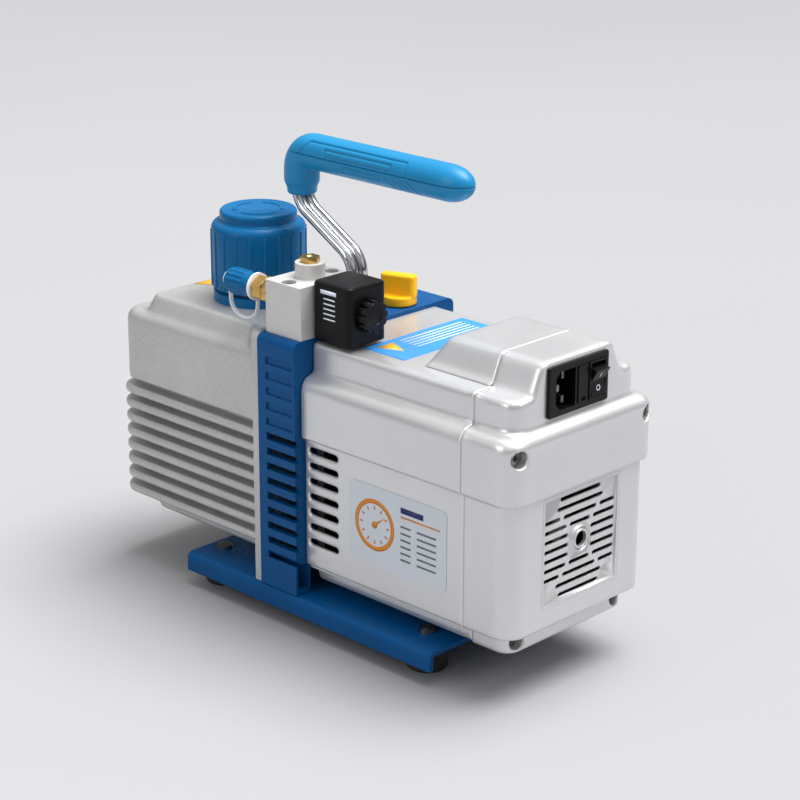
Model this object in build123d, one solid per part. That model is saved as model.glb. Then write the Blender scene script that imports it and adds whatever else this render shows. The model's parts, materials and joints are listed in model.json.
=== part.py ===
from build123d import *
import math
import os

os.makedirs("parts", exist_ok=True)

# Two-stage rotary vane pump. +X is the motor end, -X the oil tank, +Z up, feet on z = 0. Millimetres.

# Lengthwise stations
tank_end_x = -170.4
flange_x = -33.5
saddle_x = -27.5
motor_x = 4.1
seam_x = 132.5
end_x = 170.4
hood_face_x = 163.0
hood_start_x = 81.0

# Heights
foot_height = 10.0
base_top_z = 22.0
base_sheet = 3.0
tray_z = 28.3
shell_z = 41.0
axis_z = 88.0
cover_z = 122.5
shoulder_z = 161.0
deck_z = 180.0
saddle_top_z = 182.0
hood_top_z = 198.0
tank_top_z = 177.5

# Half widths
base_half = 69.3
saddle_half = 68.0
cover_half = 63.5
shell_half = 60.0
tray_half = 52.0
deck_half = 53.0
hood_half = 31.0
fin_half = 61.2
tank_half = 59.0

# Walls and clearances
wall = 2.5
saddle_wall = 4.2
tank_wall = 4.0
running_gap = 0.05
loose_gap = 0.3

# Base
base_x0 = -95.2
base_x1 = 116.2
base_bend = 4.0
foot_radius = 12.3
foot_xs = (-84.2, 93.6)
foot_y = 47.6
foot_screw_radius = 2.5

# Saddle bracket
window_count = 9
recess_count = 5
window_pitch = 9.52
window_height = 4.6
window_top_z = 119.1
window_x0 = -20.5
recess_depth = 1.2
plinth_half_in = 56.0
plinth_top_z = 44.0
plate_x = (saddle_x + motor_x) / 2
bolt_radius = 3.0

# Oil tank
fin_count = 8
fin_pitch = 9.65
fin_top_z = 113.3
fin_thick = 5.6
fin_round = 2.2
tank_body_z = 120.3
tank_ledge_z = 166.5
tank_corner = 13.0
tank_step = 14.5
tank_end_inset = 2.4
gasket = 0.6

# Exhaust cap
cap_x = -93.0
cap_y = -6.0
cap_radius = 30.3
cap_disc_radius = 24.2
cap_z0 = 185.6
cap_shoulder_z = 227.5
cap_top_z = 234.8
cap_ribs = 20
ring_radius = 28.7
ring_z1 = 183.9
neck_radius = 24.0

# Manifold
block_x0 = -26.0
block_x1 = 4.0
block_y0 = -62.5
block_y1 = -17.0
block_top_z = 214.0
boss_y = -39.8
boss_radius = 9.0
boss_top_z = 223.0
block_mid_x = (block_x0 + block_x1) / 2
valve_y = -38.0
valve_z = 200.0
coil_x1 = 35.5
coil_half = 15.5
coil_z0 = 182.4
coil_z1 = 218.0
tube_radius = 5.5
plunger_radius = 4.4
inlet_y = -53.0
inlet_z = 204.0
flare_cap_x0 = -65.6
flare_cap_x1 = -43.8
flare_cap_radius = 8.0
strap_y = -53.0

# Handle
rod_radius = 3.5
rod_half_gap = 4.0
rod_foot_x = -11.7
rod_low_z = 216.5
rod_rise_x = -59.5
rod_high_z = 244.0
grip_z = 276.5
grip_radius = 11.0
grip_end_x = 63.0
grip_nose = 18.0
grip_start_z = 249.0
rod_bend = 18.0
rod_top_bend = 12.0

# Gas-ballast knob
knob_x = -10.0
knob_y = 34.0
knob_radius = 11.0

# Power inlet module
module_y = -2.0
module_z = 180.0
bezel_half_y = 25.5
bezel_half_z = 14.8
bezel_x = 165.0
body_half_y = 23.4
body_half_z = 13.4
body_x0 = 137.0
socket_y = -13.7
socket_half_y = 8.2
socket_half_z = 11.2
drawer_y = 0.6
drawer_half_y = 4.1
drawer_half_z = 11.0
switch_y = 13.5
switch_half_y = 6.0
switch_half_z = 10.0
rocker_pivot_x = 160.0
rocker_tilt = 12.0

# Grille in the end cover
grille_z = 87.0
grille_half = 31.5
grille_rows = 11
grille_pitch = 5.8
grille_slot = 2.6
grille_reach = 30.4
grille_recess = 1.2

# Vents in the lower shell
vent_count = 7
vent_pitch = 9.68
vent_top_z = 115.2
vent_x0 = 7.3
vent_length = 24.6
vent_height = 3.8

# Motor and pump insides
shaft_radius = 7.0
bearing_radius = 16.0
rotor_radius = 27.0
stator_bore = 27.6
stator_radius = 50.0
core_x0 = 44.0
core_x1 = 106.0
fan_x0 = 137.0
fan_x1 = 150.0
fan_radius = 44.0
pump_rotor_radius = 22.0
pump_bore_radius = 24.5
pump_body_radius = 33.0
pump_x0 = -96.0
pump_x1 = -40.0
pump_shaft_radius = 6.0


def box(x0, x1, y0, y1, z0, z1):
    """A plain block between two corners."""
    centre = Pos((x0 + x1) / 2, (y0 + y1) / 2, (z0 + z1) / 2)
    return centre * Box(x1 - x0, y1 - y0, z1 - z0)


def bar_x(x0, x1, y, z, radius):
    return Pos((x0 + x1) / 2, y, z) * Rot(0, 90, 0) * Cylinder(radius, x1 - x0)


def bar_y(y0, y1, x, z, radius):
    return Pos(x, (y0 + y1) / 2, z) * Rot(90, 0, 0) * Cylinder(radius, y1 - y0)


def bar_z(z0, z1, x, y, radius):
    return Pos(x, y, (z0 + z1) / 2) * Cylinder(radius, z1 - z0)


def hex_x(x0, x1, y, z, across):
    sketch = RegularPolygon(across / math.sqrt(3), 6)
    return Pos(x0, y, z) * Rot(0, 90, 0) * extrude(sketch, x1 - x0)


def hex_z(z0, z1, x, y, across):
    sketch = RegularPolygon(across / math.sqrt(3), 6)
    return Pos(x, y, z0) * extrude(sketch, z1 - z0)


def slab(x0, x1, half, z0, z1, radius, right=True, edge=0.0, both=False):
    """A plan outline with two rounded vertical corners, and an optional rounded top edge."""
    outline = Pos((x0 + x1) / 2, 0) * Rectangle(x1 - x0, 2 * half)
    corners = outline.vertices().sort_by(Axis.X)
    chosen = corners[-2:] if right else corners[:2]
    if both:
        chosen = corners
    solid = Pos(0, 0, z0) * extrude(fillet(chosen, radius), z1 - z0)
    if edge:
        open_x = x0 if right else x1
        rim = [e for e in solid.faces().sort_by(Axis.Z)[-1].edges()
               if both or abs(e.center().X - open_x) > 0.01]
        solid = fillet(rim, edge)
    return solid


def section(points, x0, x1):
    """A YZ outline, given for one side and mirrored, drawn out along X."""
    loop = points + [(-y, z) for y, z in reversed(points)]
    return Pos(x0, 0, 0) * extrude(Plane.YZ * make_face(Polyline(*loop, close=True)), x1 - x0)


def hood_solid(inset, x0, x1, floor):
    """The raised box over the inlet, with flanks that lean in."""
    top = hood_top_z - inset
    half = hood_half - inset
    outline = [(half + 9.5, floor), (half + 5.5, deck_z + 3 - inset), (half + 0.8, top - 4),
               (half - 0.8, top - 1.2), (half - 4, top)]
    return section(outline, x0, x1)


def lean_start(solid, x0, inset):
    """Cuts the hood's start back, so that its left wall leans."""
    depth = hood_top_z - deck_z
    run = 11.7
    cut = Plane.XZ * make_face(Polyline((x0 - 30, deck_z - 10), (x0 - 10 * run / depth, deck_z - 10),
                                        (x0 + run * 1.3, deck_z + depth * 1.3),
                                        (x0 - 30, deck_z + depth * 1.3), close=True))
    return solid - Pos(inset, 0, 0) * extrude(cut, 100, both=True)


def export(name, solid):
    """Writes one sub-part."""
    if isinstance(solid, (list, ShapeList)):
        solid = Compound(children=list(solid))
    export_step(solid, f"parts/{name}.step")


# Base plate and feet

def make_base():
    plate = box(base_x0, base_x1, -base_half, base_half, foot_height, base_top_z)
    bends = [e for e in plate.edges().filter_by(Axis.X) if e.center().Z > base_top_z - 1]
    plate = fillet(bends, base_bend)
    hollow = box(base_x0 - 1, base_x1 + 1, -base_half + base_sheet, base_half - base_sheet,
                 foot_height - 1, base_top_z - base_sheet)
    plate -= hollow
    for x in foot_xs:
        for y in (-foot_y, foot_y):
            plate -= bar_z(foot_height, base_top_z + 1, x, y, foot_screw_radius)
    for y in (-1, 1):
        plate -= bar_z(foot_height, base_top_z + 1, plate_x, y * bolt_y, bolt_radius)
    return plate


def make_feet():
    feet = []
    for x in foot_xs:
        for y in (-foot_y, foot_y):
            foot = Pos(x, y, 0) * extrude(Circle(foot_radius), base_top_z - base_sheet)
            foot = chamfer(foot.faces().sort_by(Axis.Z)[0].edges(), 1.2)
            foot -= bar_z(-1, 6, x, y, 5.0)
            foot -= bar_z(5, 30, x, y, foot_screw_radius)
            feet.append(foot)
    return feet


def make_foot_screws():
    screws = []
    for x in foot_xs:
        for y in (-foot_y, foot_y):
            screw = bar_z(6.0, base_top_z, x, y, foot_screw_radius)
            screw += bar_z(base_top_z, base_top_z + 2.4, x, y, 4.6)
            screw += bar_z(4.4, 6.0, x, y, 4.2)
            screws.append(screw)
    return screws


# Saddle bracket between pump and motor

bolt_y = 62.0


def make_saddle():
    outer = box(saddle_x, motor_x, -saddle_half, saddle_half, base_top_z, saddle_top_z)
    crown = [e for e in outer.edges().filter_by(Axis.X) if e.center().Z > saddle_top_z - 1]
    outer = fillet(crown, 5.0)
    inner_half = saddle_half - saddle_wall
    body = outer - box(saddle_x - 1, motor_x + 1, -inner_half, inner_half, base_top_z - 1,
                       saddle_top_z - 3.2)
    web = box(motor_x - 3.6, motor_x, -inner_half, inner_half, shell_z + 1, saddle_top_z - 3.2)
    web -= bar_x(motor_x - 5, motor_x + 1, 0, axis_z, 34.0)
    body += web
    for side in (-1, 1):
        y0, y1 = sorted((side * plinth_half_in, side * saddle_half))
        body += box(saddle_x, motor_x, y0, y1, base_top_z, plinth_top_z)
        p0, p1 = sorted((side * (plinth_half_in + 1.6), side * (saddle_half - 1.6)))
        body -= box(saddle_x + 2.4, motor_x + 1, p0, p1, base_top_z + 2.4, plinth_top_z - 2.6)
        body -= bar_z(base_top_z - 1, base_top_z + 3, plate_x, side * bolt_y, bolt_radius)
        w0, w1 = sorted((side * (inner_half - 0.01), side * (saddle_half + 1)))
        for k in range(window_count):
            z = window_top_z - k * window_pitch
            body -= box(window_x0, motor_x + 1, w0, w1, z - window_height / 2, z + window_height / 2)
        r0, r1 = sorted((side * (saddle_half - recess_depth), side * (saddle_half + 1)))
        for k in range(1, recess_count + 1):
            z = window_top_z + k * window_pitch
            body -= box(window_x0, motor_x - 1.6, r0, r1, z - window_height / 2, z + window_height / 2)
    for y in (-rod_half_gap, rod_half_gap):
        body -= bar_z(saddle_top_z - 10, saddle_top_z + 1, rod_foot_x, y, rod_radius)
    body -= bar_z(saddle_top_z - 10, saddle_top_z + 1, knob_x, knob_y, 4.0 + running_gap)
    for y in screw_ys:
        body -= bar_z(saddle_top_z - 10, saddle_top_z + 1, block_mid_x, y, bolt_radius)
    return body


def make_saddle_bolts():
    bolts = []
    for side in (-1, 1):
        bolt = hex_z(base_top_z + 2.4, base_top_z + 6.4, plate_x, side * bolt_y, 7.4)
        bolt += bar_z(base_top_z - 8, base_top_z + 2.5, plate_x, side * bolt_y, bolt_radius)
        bolt += hex_z(base_top_z - base_sheet - 4, base_top_z - base_sheet, plate_x, side * bolt_y, 7.4)
        bolts.append(bolt)
    return bolts


def make_flange():
    plate = box(flange_x, saddle_x, -67, 67, base_top_z, saddle_top_z - 0.7)
    crown = [e for e in plate.edges().filter_by(Axis.X) if e.center().Z > saddle_top_z - 2]
    plate = fillet(crown, 5.0)
    plate -= bar_x(flange_x - 1, saddle_x + 1, 0, axis_z, pump_shaft_radius + running_gap)
    for y, z in tank_screw_spots:
        plate -= bar_x(flange_x - 1, saddle_x + 1, y, z, 3.0)
    return plate


# Oil tank

tank_screw_spots = [(-46, 62), (46, 62), (-50, 154), (50, 154)]
tank_x1 = flange_x - gasket
sump_z = 35.0
sump_x0 = -146.0
glass_z = 84.0
drain_z = 41.5


def fin_levels():
    return [fin_top_z - k * fin_pitch for k in range(fin_count)]


def make_tank():
    body_x = tank_end_x + tank_end_inset
    core = slab(body_x + 8, tank_x1, tank_half - 7, sump_z + 6, tank_body_z + 1, 8.0, right=False)
    upper = slab(body_x, tank_x1, tank_half, tank_body_z, tank_ledge_z, tank_corner, right=False, edge=7.0)
    base = Pos((body_x + tank_step + tank_x1) / 2, 0) * Rectangle(tank_x1 - body_x - tank_step, 2 * (tank_half - 3.5))
    base = fillet(base.vertices().sort_by(Axis.X)[:2], 12.0)
    plateau = Pos(0, 0, tank_ledge_z - 3) * extrude(base, tank_top_z - tank_ledge_z + 3, taper=26)
    brow = [e for e in plateau.faces().sort_by(Axis.Z)[-1].edges() if abs(e.center().X - tank_x1) > 8]
    plateau = fillet(brow, 3.0)
    plateau &= box(body_x, tank_x1, -90, 90, 100, 300)
    plateau += box(tank_x1 - 30, tank_x1, -50, 50, tank_ledge_z - 3, tank_top_z - 1)
    sump = slab(sump_x0, tank_x1, tank_half - 5, sump_z, sump_z + 12, 10.0, right=False)
    body = core + upper + plateau + sump
    for z in fin_levels():
        fin = slab(tank_end_x, tank_x1, fin_half, z - fin_thick / 2, z + fin_thick / 2,
                   tank_corner + 1, right=False)
        rims = [e for e in fin.faces().sort_by(Axis.Z)[0].edges() + fin.faces().sort_by(Axis.Z)[-1].edges()
                if abs(e.center().X - tank_x1) > 0.01]
        body += fillet(rims, fin_round)
    body += box(tank_end_x, body_x + 9, -24, 24, sump_z + 8, tank_body_z + 2)
    body += bar_z(tank_ledge_z - 8, tank_top_z + 0.4, tank_x1 - 10, -49, 7.0)
    cavity = slab(body_x + 12, tank_x1 + 1, tank_half - 11, sump_z + tank_wall, tank_body_z + 4, 6.0,
                  right=False)
    cavity += slab(body_x + tank_wall, tank_x1 + 1, tank_half - tank_wall, tank_body_z + 3,
                   tank_ledge_z - 7, 9.0, right=False)
    cavity += slab(body_x + 34, tank_x1 + 1, 42, tank_ledge_z - 8, tank_top_z - tank_wall, 6.0, right=False)
    posts = Part()
    for y, z in tank_screw_spots:
        posts += bar_x(tank_x1 - 30, tank_x1, y, z, 7.5)
    cavity -= posts
    body -= cavity
    for y, z in tank_screw_spots:
        body -= bar_x(tank_x1 - 22, tank_x1 + 1, y, z, 3.0)
    body -= bar_z(tank_top_z - 12, tank_top_z + 1, cap_x, cap_y, 20.0)
    body -= bar_x(tank_end_x - 1, tank_end_x + 4.4, 0, glass_z, 13.0)
    body -= bar_x(tank_end_x + 4, body_x + 14, 0, glass_z, 9.0)
    body -= bar_x(sump_x0 - 1, sump_x0 + 9, 0, drain_z, 3.0)
    return body


def make_gasket():
    ring = slab(tank_x1 - 20, flange_x, tank_half - 6, tank_body_z - 78, tank_ledge_z - 2, 6.0, both=True)
    ring &= box(tank_x1, flange_x, -90, 90, 0, 300)
    ring -= slab(tank_x1 - 20, flange_x + 1, tank_half - 11, tank_body_z - 74, tank_ledge_z - 6, 6.0, both=True)
    for y, z in tank_screw_spots:
        ring += bar_x(tank_x1, flange_x, y, z, 6.5)
        ring -= bar_x(tank_x1 - 1, flange_x + 1, y, z, 3.0)
    return ring


def make_tank_screws():
    screws = []
    for y, z in tank_screw_spots:
        screw = bar_x(tank_x1 - 20, saddle_x, y, z, 3.0) + bar_x(saddle_x, saddle_x + 5, y, z, 5.0)
        screw -= hex_x(saddle_x + 2, saddle_x + 6, y, z, 4.6)
        screws.append(screw)
    return screws


def make_sight_window():
    return bar_x(tank_end_x + 1.6, tank_end_x + 4.4, 0, glass_z, 12.0)


def make_sight_ring():
    ring = bar_x(tank_end_x, tank_end_x + 4.4, 0, glass_z, 13.0)
    ring -= bar_x(tank_end_x + 1.6, tank_end_x + 5, 0, glass_z, 12.0)
    ring -= bar_x(tank_end_x - 1, tank_end_x + 5, 0, glass_z, 9.0)
    return ring


def make_drain_plug():
    return hex_x(sump_x0 - 5, sump_x0, 0, drain_z, 8.0) + bar_x(sump_x0, sump_x0 + 8, 0, drain_z, 3.0)


# Exhaust

def make_exhaust_ring():
    ring = bar_z(tank_top_z, ring_z1, cap_x, cap_y, ring_radius)
    ring = chamfer(ring.faces().sort_by(Axis.Z)[-1].edges(), 0.8)
    ring += bar_z(ring_z1 - 1, cap_shoulder_z - 14, cap_x, cap_y, neck_radius)
    return ring - bar_z(tank_top_z - 1, cap_top_z, cap_x, cap_y, 20.0)


def make_o_ring():
    ring = Pos(cap_x, cap_y, ring_z1 + 0.7) * Torus(neck_radius + 2.0, 0.7)
    return ring - bar_z(ring_z1 - 1, cap_z0, cap_x, cap_y, neck_radius)


def make_cap():
    skirt = cap_radius - 0.8
    outline = Polyline((0, cap_z0), (skirt, cap_z0), (skirt, cap_shoulder_z - 4.5), (skirt - 0.8, cap_shoulder_z - 1.6),
                       (skirt - 2.6, cap_shoulder_z + 0.4), (cap_disc_radius + 0.6, cap_shoulder_z + 1.4),
                       (cap_disc_radius, cap_shoulder_z + 2.4), (cap_disc_radius - 0.2, cap_top_z - 2.2),
                       (cap_disc_radius - 1.0, cap_top_z - 0.6), (cap_disc_radius - 2.2, cap_top_z),
                       (0, cap_top_z), close=True)
    body = Pos(cap_x, cap_y, 0) * revolve(Plane.XZ * make_face(outline), Axis.Z, 360)
    rib_top = cap_shoulder_z - 5
    for k in range(cap_ribs):
        turn = 360 * k / cap_ribs
        rib = Pos(cap_radius - 1.1, 0, (cap_z0 + rib_top) / 2) * Cylinder(1.1, rib_top - cap_z0)
        rib += Pos(cap_radius - 1.1, 0, rib_top) * Sphere(1.1)
        body += Pos(cap_x, cap_y, 0) * Rot(0, 0, turn) * rib
    body -= bar_z(cap_z0 - 1, cap_shoulder_z - 13, cap_x, cap_y, neck_radius + running_gap)
    return body - bar_z(cap_z0 - 1, cap_shoulder_z - 2, cap_x, cap_y, 20.0)


def make_filter():
    body = bar_z(tank_top_z - 3, cap_shoulder_z - 16, cap_x, cap_y, 20.0)
    body -= bar_z(tank_top_z - 1, cap_shoulder_z, cap_x, cap_y, 8.0)
    return body


# Manifold, inlet and solenoid valve

screw_ys = (-57.0, -22.5)


def make_block():
    body = box(block_x0, block_x1, block_y0, block_y1, saddle_top_z, block_top_z)
    body = chamfer(body.edges().filter_by(Axis.Z), 0.8)
    body += bar_z(block_top_z, boss_top_z, block_mid_x, boss_y, boss_radius)
    body -= bar_z(boss_top_z - 8, boss_top_z + 1, block_mid_x, boss_y, 4.5)
    body -= bar_z(valve_z - 3, boss_top_z, block_mid_x, boss_y, 2.0)
    body -= bar_x(block_x1 - 8, block_x1 + 1, valve_y, valve_z, tube_radius)
    body -= bar_x(block_mid_x - 4, block_x1 - 7, valve_y, valve_z, 2.0)
    body -= bar_x(block_x0 - 1, block_x0 + 7, inlet_y, inlet_z, 4.0)
    body -= bar_x(block_x0 + 6, block_mid_x + 4, inlet_y, inlet_z, 2.0)
    body -= bar_y(inlet_y, valve_y, block_mid_x, inlet_z - 2, 2.0)
    for y in screw_ys:
        body -= bar_z(block_top_z - 6, block_top_z + 1, block_mid_x, y, 4.5)
        body -= bar_z(saddle_top_z - 1, block_top_z, block_mid_x, y, bolt_radius)
    return body


def make_block_screws():
    screws = []
    for y in screw_ys:
        screw = bar_z(block_top_z - 6, block_top_z - 2, block_mid_x, y, 4.3)
        screw -= hex_z(block_top_z - 4.4, block_top_z, block_mid_x, y, 4.0)
        screw += bar_z(saddle_top_z - 9, block_top_z - 6, block_mid_x, y, bolt_radius)
        screw += hex_z(saddle_top_z - 8.2, saddle_top_z - 3.2, block_mid_x, y, 10.0)
        screws.append(screw)
    return screws


def make_port_plug():
    plug = hex_z(boss_top_z, boss_top_z + 3.4, block_mid_x, boss_y, 10.6)
    plug &= bar_z(boss_top_z, boss_top_z + 3.4, block_mid_x, boss_y, 5.9)
    plug += bar_z(boss_top_z - 7, boss_top_z, block_mid_x, boss_y, 4.5)
    return plug - hex_z(boss_top_z + 1.4, boss_top_z + 4, block_mid_x, boss_y, 4.0)


def make_fitting():
    body = hex_x(block_x0 - 7, block_x0, inlet_y, inlet_z, 14.5)
    body += bar_x(flare_cap_x1 - 0.2, block_x0 - 6, inlet_y, inlet_z, 6.0)
    body += bar_x(flare_cap_x0 + 3, flare_cap_x1, inlet_y, inlet_z, 5.5)
    body += bar_x(block_x0 - 1, block_x0 + 6, inlet_y, inlet_z, 4.0)
    return body - bar_x(flare_cap_x0, block_x0 + 7, inlet_y, inlet_z, 2.4)


def make_flare_cap():
    body = bar_x(flare_cap_x0, flare_cap_x1 - 1, inlet_y, inlet_z, flare_cap_radius - 0.5)
    body = fillet(body.faces().sort_by(Axis.X)[0].edges(), 1.0)
    for k in range(16):
        turn = 360 * k / 16
        rib = Pos((flare_cap_x0 + flare_cap_x1) / 2, inlet_y, inlet_z) * Rot(turn, 0, 0)
        body += rib * Pos(-2.5, 0, flare_cap_radius - 0.7) * Rot(0, 90, 0) * Cylinder(0.7, 13.0)
    body += bar_x(flare_cap_x0 - 2.6, flare_cap_x0 + 0.5, inlet_y, inlet_z, 3.0)
    body += bar_x(flare_cap_x0 - 3.6, flare_cap_x0 - 2.6, inlet_y, inlet_z, 4.4)
    return body - bar_x(flare_cap_x0 + 2.4, flare_cap_x1, inlet_y, inlet_z, 5.5 + running_gap)


def make_strap():
    left = flare_cap_x0 - 1.3
    right = flare_cap_x1 + 1.2
    mid = (left + right) / 2
    low = 194.8
    swing = (right - left) / 2
    band = 1.0
    outer = box(left - band, right + band, strap_y - 1.6, strap_y + 1.6, low, inlet_z - 4)
    outer += bar_y(strap_y - 1.6, strap_y + 1.6, mid, low, swing + band)
    inner = box(left + band, right - band, strap_y - 2, strap_y + 2, low, inlet_z + 10)
    inner += bar_y(strap_y - 2, strap_y + 2, mid, low, swing - band)
    strap = outer - inner
    strap += bar_x(left - band, left + band, inlet_y, inlet_z, 5.6)
    strap += bar_x(right - band, right + band, inlet_y, inlet_z, 9.0)
    strap -= bar_x(left - 2, left + 2, inlet_y, inlet_z, 3.0 + running_gap)
    strap -= bar_x(right - 2, right + 2, inlet_y, inlet_z, 6.0 + running_gap)
    return strap


def make_coil():
    body = box(block_x1 + 0.4, coil_x1, valve_y - coil_half, valve_y + coil_half, coil_z0, coil_z1)
    body = fillet(body.edges().filter_by(Axis.Z), 4.0)
    body = fillet(body.faces().sort_by(Axis.Z)[-1].edges(), 2.0)
    return body - bar_x(block_x1, coil_x1 + 1, valve_y, valve_z, tube_radius + loose_gap)


def make_tube():
    tube = bar_x(block_x1 - 7, coil_x1 + 5, valve_y, valve_z, tube_radius)
    return tube - bar_x(block_x1 - 8, coil_x1 + 1, valve_y, valve_z, plunger_radius + running_gap)


def make_plunger():
    return bar_x(block_x1 - 6, block_x1 + 14, valve_y, valve_z, plunger_radius)


def make_spring():
    spring = bar_x(block_x1 + 14, coil_x1 + 1, valve_y, valve_z, plunger_radius - 0.2)
    return spring - bar_x(block_x1 + 13, coil_x1 + 2, valve_y, valve_z, plunger_radius - 1.2)


def make_coil_nut():
    nut = bar_x(coil_x1, coil_x1 + 6.5, valve_y, valve_z, 9.4)
    nut = chamfer(nut.faces().sort_by(Axis.X)[-1].edges(), 0.8)
    for k in range(12):
        turn = Pos(coil_x1 + 3, valve_y, valve_z) * Rot(30 * k, 0, 0)
        nut += turn * Pos(0, 0, 9.0) * Rot(0, 90, 0) * Cylinder(1.2, 5.6)
    return nut - bar_x(coil_x1 - 1, coil_x1 + 5, valve_y, valve_z, tube_radius)


# Gas-ballast knob

def make_knob():
    z = saddle_top_z + 0.3
    disc = bar_z(z, z + 6, knob_x, knob_y, knob_radius)
    disc = fillet(disc.faces().sort_by(Axis.Z)[-1].edges(), 1.0)
    wing = Pos(0, 0, z + 12) * Box(23, 8.4, 13.6)
    wing = fillet(wing.edges().filter_by(Axis.Z), 3.0)
    wing = fillet(wing.faces().sort_by(Axis.Z)[-1].edges(), 1.5)
    knob = disc + Pos(knob_x, knob_y, 0) * Rot(0, 0, 20) * wing
    return knob + bar_z(saddle_top_z - 12, z + 1, knob_x, knob_y, 4.0)


# Handle

def handle_wire(start_z, end_x, y):
    """The rod's route in its own plane: up, back over the tank, up again and out along the grip."""
    corners = [(rod_foot_x, y, start_z), (rod_foot_x, y, rod_low_z), (rod_rise_x, y, rod_high_z),
               (rod_rise_x, y, grip_z), (end_x, y, grip_z)]
    return FilletPolyline(*corners, radius=[rod_bend, rod_bend, rod_top_bend])


def make_rod(radius, start_z, end_x):
    rods = Part()
    for y in (-rod_half_gap, rod_half_gap):
        wire = handle_wire(start_z, end_x, y)
        rods += sweep(Plane(origin=wire @ 0, z_dir=wire % 0) * Circle(radius), wire)
    bend = RadiusArc((end_x, -rod_half_gap, grip_z), (end_x, rod_half_gap, grip_z), rod_half_gap)
    if (bend @ 0.5).X < end_x:
        bend = RadiusArc((end_x, -rod_half_gap, grip_z), (end_x, rod_half_gap, grip_z), -rod_half_gap)
    rods += sweep(Plane(origin=bend @ 0, z_dir=bend % 0) * Circle(radius), bend)
    return rods


def make_grip():
    route = FilletPolyline((rod_rise_x, 0, grip_start_z + 8), (rod_rise_x, 0, grip_z),
                           (grip_end_x, 0, grip_z), radius=rod_top_bend)
    body = sweep(Plane(origin=route @ 0, z_dir=route % 0) * Circle(grip_radius), route)
    half = Pos(0, grip_radius) * Rectangle(4 * grip_nose, 2 * grip_radius)
    nose = Plane.XZ * (Ellipse(grip_nose, grip_radius) & half)
    body += Pos(grip_end_x, 0, grip_z) * revolve(nose, Axis.X, 360)
    body += Pos(rod_rise_x, 0, grip_start_z + 6) * Cone(9.2, grip_radius, 4)
    collar = Pos(rod_rise_x, 0, grip_start_z + 4) * Cylinder(9.2, 8)
    body += chamfer(collar.faces().sort_by(Axis.Z)[0].edges(), 1.2)
    return body - make_rod(rod_radius + 0.02, rod_low_z - 40, grip_end_x - 8)


def make_handle_nuts():
    nuts = []
    top = saddle_top_z - 3.2
    for side in (-1, 1):
        nut = Pos(rod_foot_x, side * (rod_half_gap + 1.6), top - 2) * Box(12, 10.8, 4)
        nut -= bar_z(top - 5, top + 1, rod_foot_x, side * rod_half_gap, rod_radius)
        nuts.append(nut)
    return nuts


# Motor housing

def cover_outline(inset):
    return [(cover_half - inset, cover_z), (cover_half - inset, shoulder_z - 9), (cover_half - 1.4 - inset,
            shoulder_z - 4), (cover_half - 4.6 - inset, shoulder_z - 1 - inset / 2),
            (deck_half + 0.8 - inset / 2, shoulder_z + 0.4 - inset), (deck_half - inset, shoulder_z + 1.6),
            (deck_half - inset, deck_z - 3), (deck_half - 0.9 - inset, deck_z - 0.9 - inset / 2),
            (deck_half - 3 - inset, deck_z - inset)]


def make_top_cover():
    body = section(cover_outline(0), motor_x, seam_x)
    body -= section([(cover_half - wall, cover_z - 1)] + cover_outline(wall)[1:], motor_x - 1, seam_x + 1)
    body += box(24, 66, 14, 36, axis_z + 84, deck_z - 1)
    body -= bar_x(20, 70, 25, axis_z + 69.5, 15.0)
    opening = hood_solid(wall + 1.2, hood_start_x + 6, seam_x + 1, deck_z - 10)
    body -= opening & box(0, 200, -90, 90, deck_z - 8, deck_z + 1)
    return body


def make_terminal_hood():
    body = lean_start(hood_solid(0, hood_start_x, seam_x, deck_z), hood_start_x, 0)
    inner = lean_start(hood_solid(wall, hood_start_x, seam_x + 1, deck_z - 1), hood_start_x, wall)
    return body - inner


def make_lower_shell():
    outer = box(motor_x, seam_x, -shell_half, shell_half, shell_z, cover_z)
    body = outer - box(motor_x - 1, seam_x + 1, -shell_half + wall, shell_half - wall, shell_z - 1, cover_z + 1)
    for side in (-1, 1):
        for k in range(vent_count):
            z = vent_top_z - k * vent_pitch
            slot = Plane.XZ * Pos(vent_x0 + vent_length / 2, z) * SlotOverall(vent_length, vent_height)
            body -= Pos(0, side * shell_half, 0) * extrude(slot, 6, both=True)
    return body


def make_tray():
    outer = box(motor_x + 2, seam_x, -tray_half, tray_half, tray_z, shell_z)
    low = [e for e in outer.edges().filter_by(Axis.X) if e.center().Z < tray_z + 1]
    outer = fillet(low, 5.0)
    rim = box(motor_x + 2, seam_x, -shell_half + 0.5, shell_half - 0.5, shell_z - 1.6, shell_z)
    body = outer + rim
    inner = box(motor_x + 1, seam_x + 1, -tray_half + wall, tray_half - wall, tray_z + wall, shell_z + 1)
    body -= inner
    return body + box(motor_x + 2, motor_x + 4.4, -tray_half, tray_half, tray_z + 5, shell_z)


def cover_screw_spots():
    upper = [(y, 150.0, end_x) for y in (-54.5, 54.5)]
    lower = [(y, 35.4, end_x - 10.1) for y in (-43.0, 43.0)]
    return upper + lower


def grille_slots():
    """Rows of slots cut by two crossing diagonal ribs."""
    middle = (grille_rows - 1) / 2
    spans = []
    for row in range(grille_rows):
        rise = (middle - row) * grille_pitch
        z = grille_z + rise
        rib = 10.2 + (abs(rise) - 2 * grille_pitch) * 0.95
        if abs(rise) > 1.5 * grille_pitch:
            reach = rib - 1.4
            if abs(rise) > 4.5 * grille_pitch:
                reach = 17.5
            spans.append((-reach, reach, z))
        if abs(rise) < 3.5 * grille_pitch:
            start = max(rib + 1.4, 9.6)
            spans.append((-grille_reach, -start, z))
            spans.append((start, grille_reach, z))
    return spans


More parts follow.
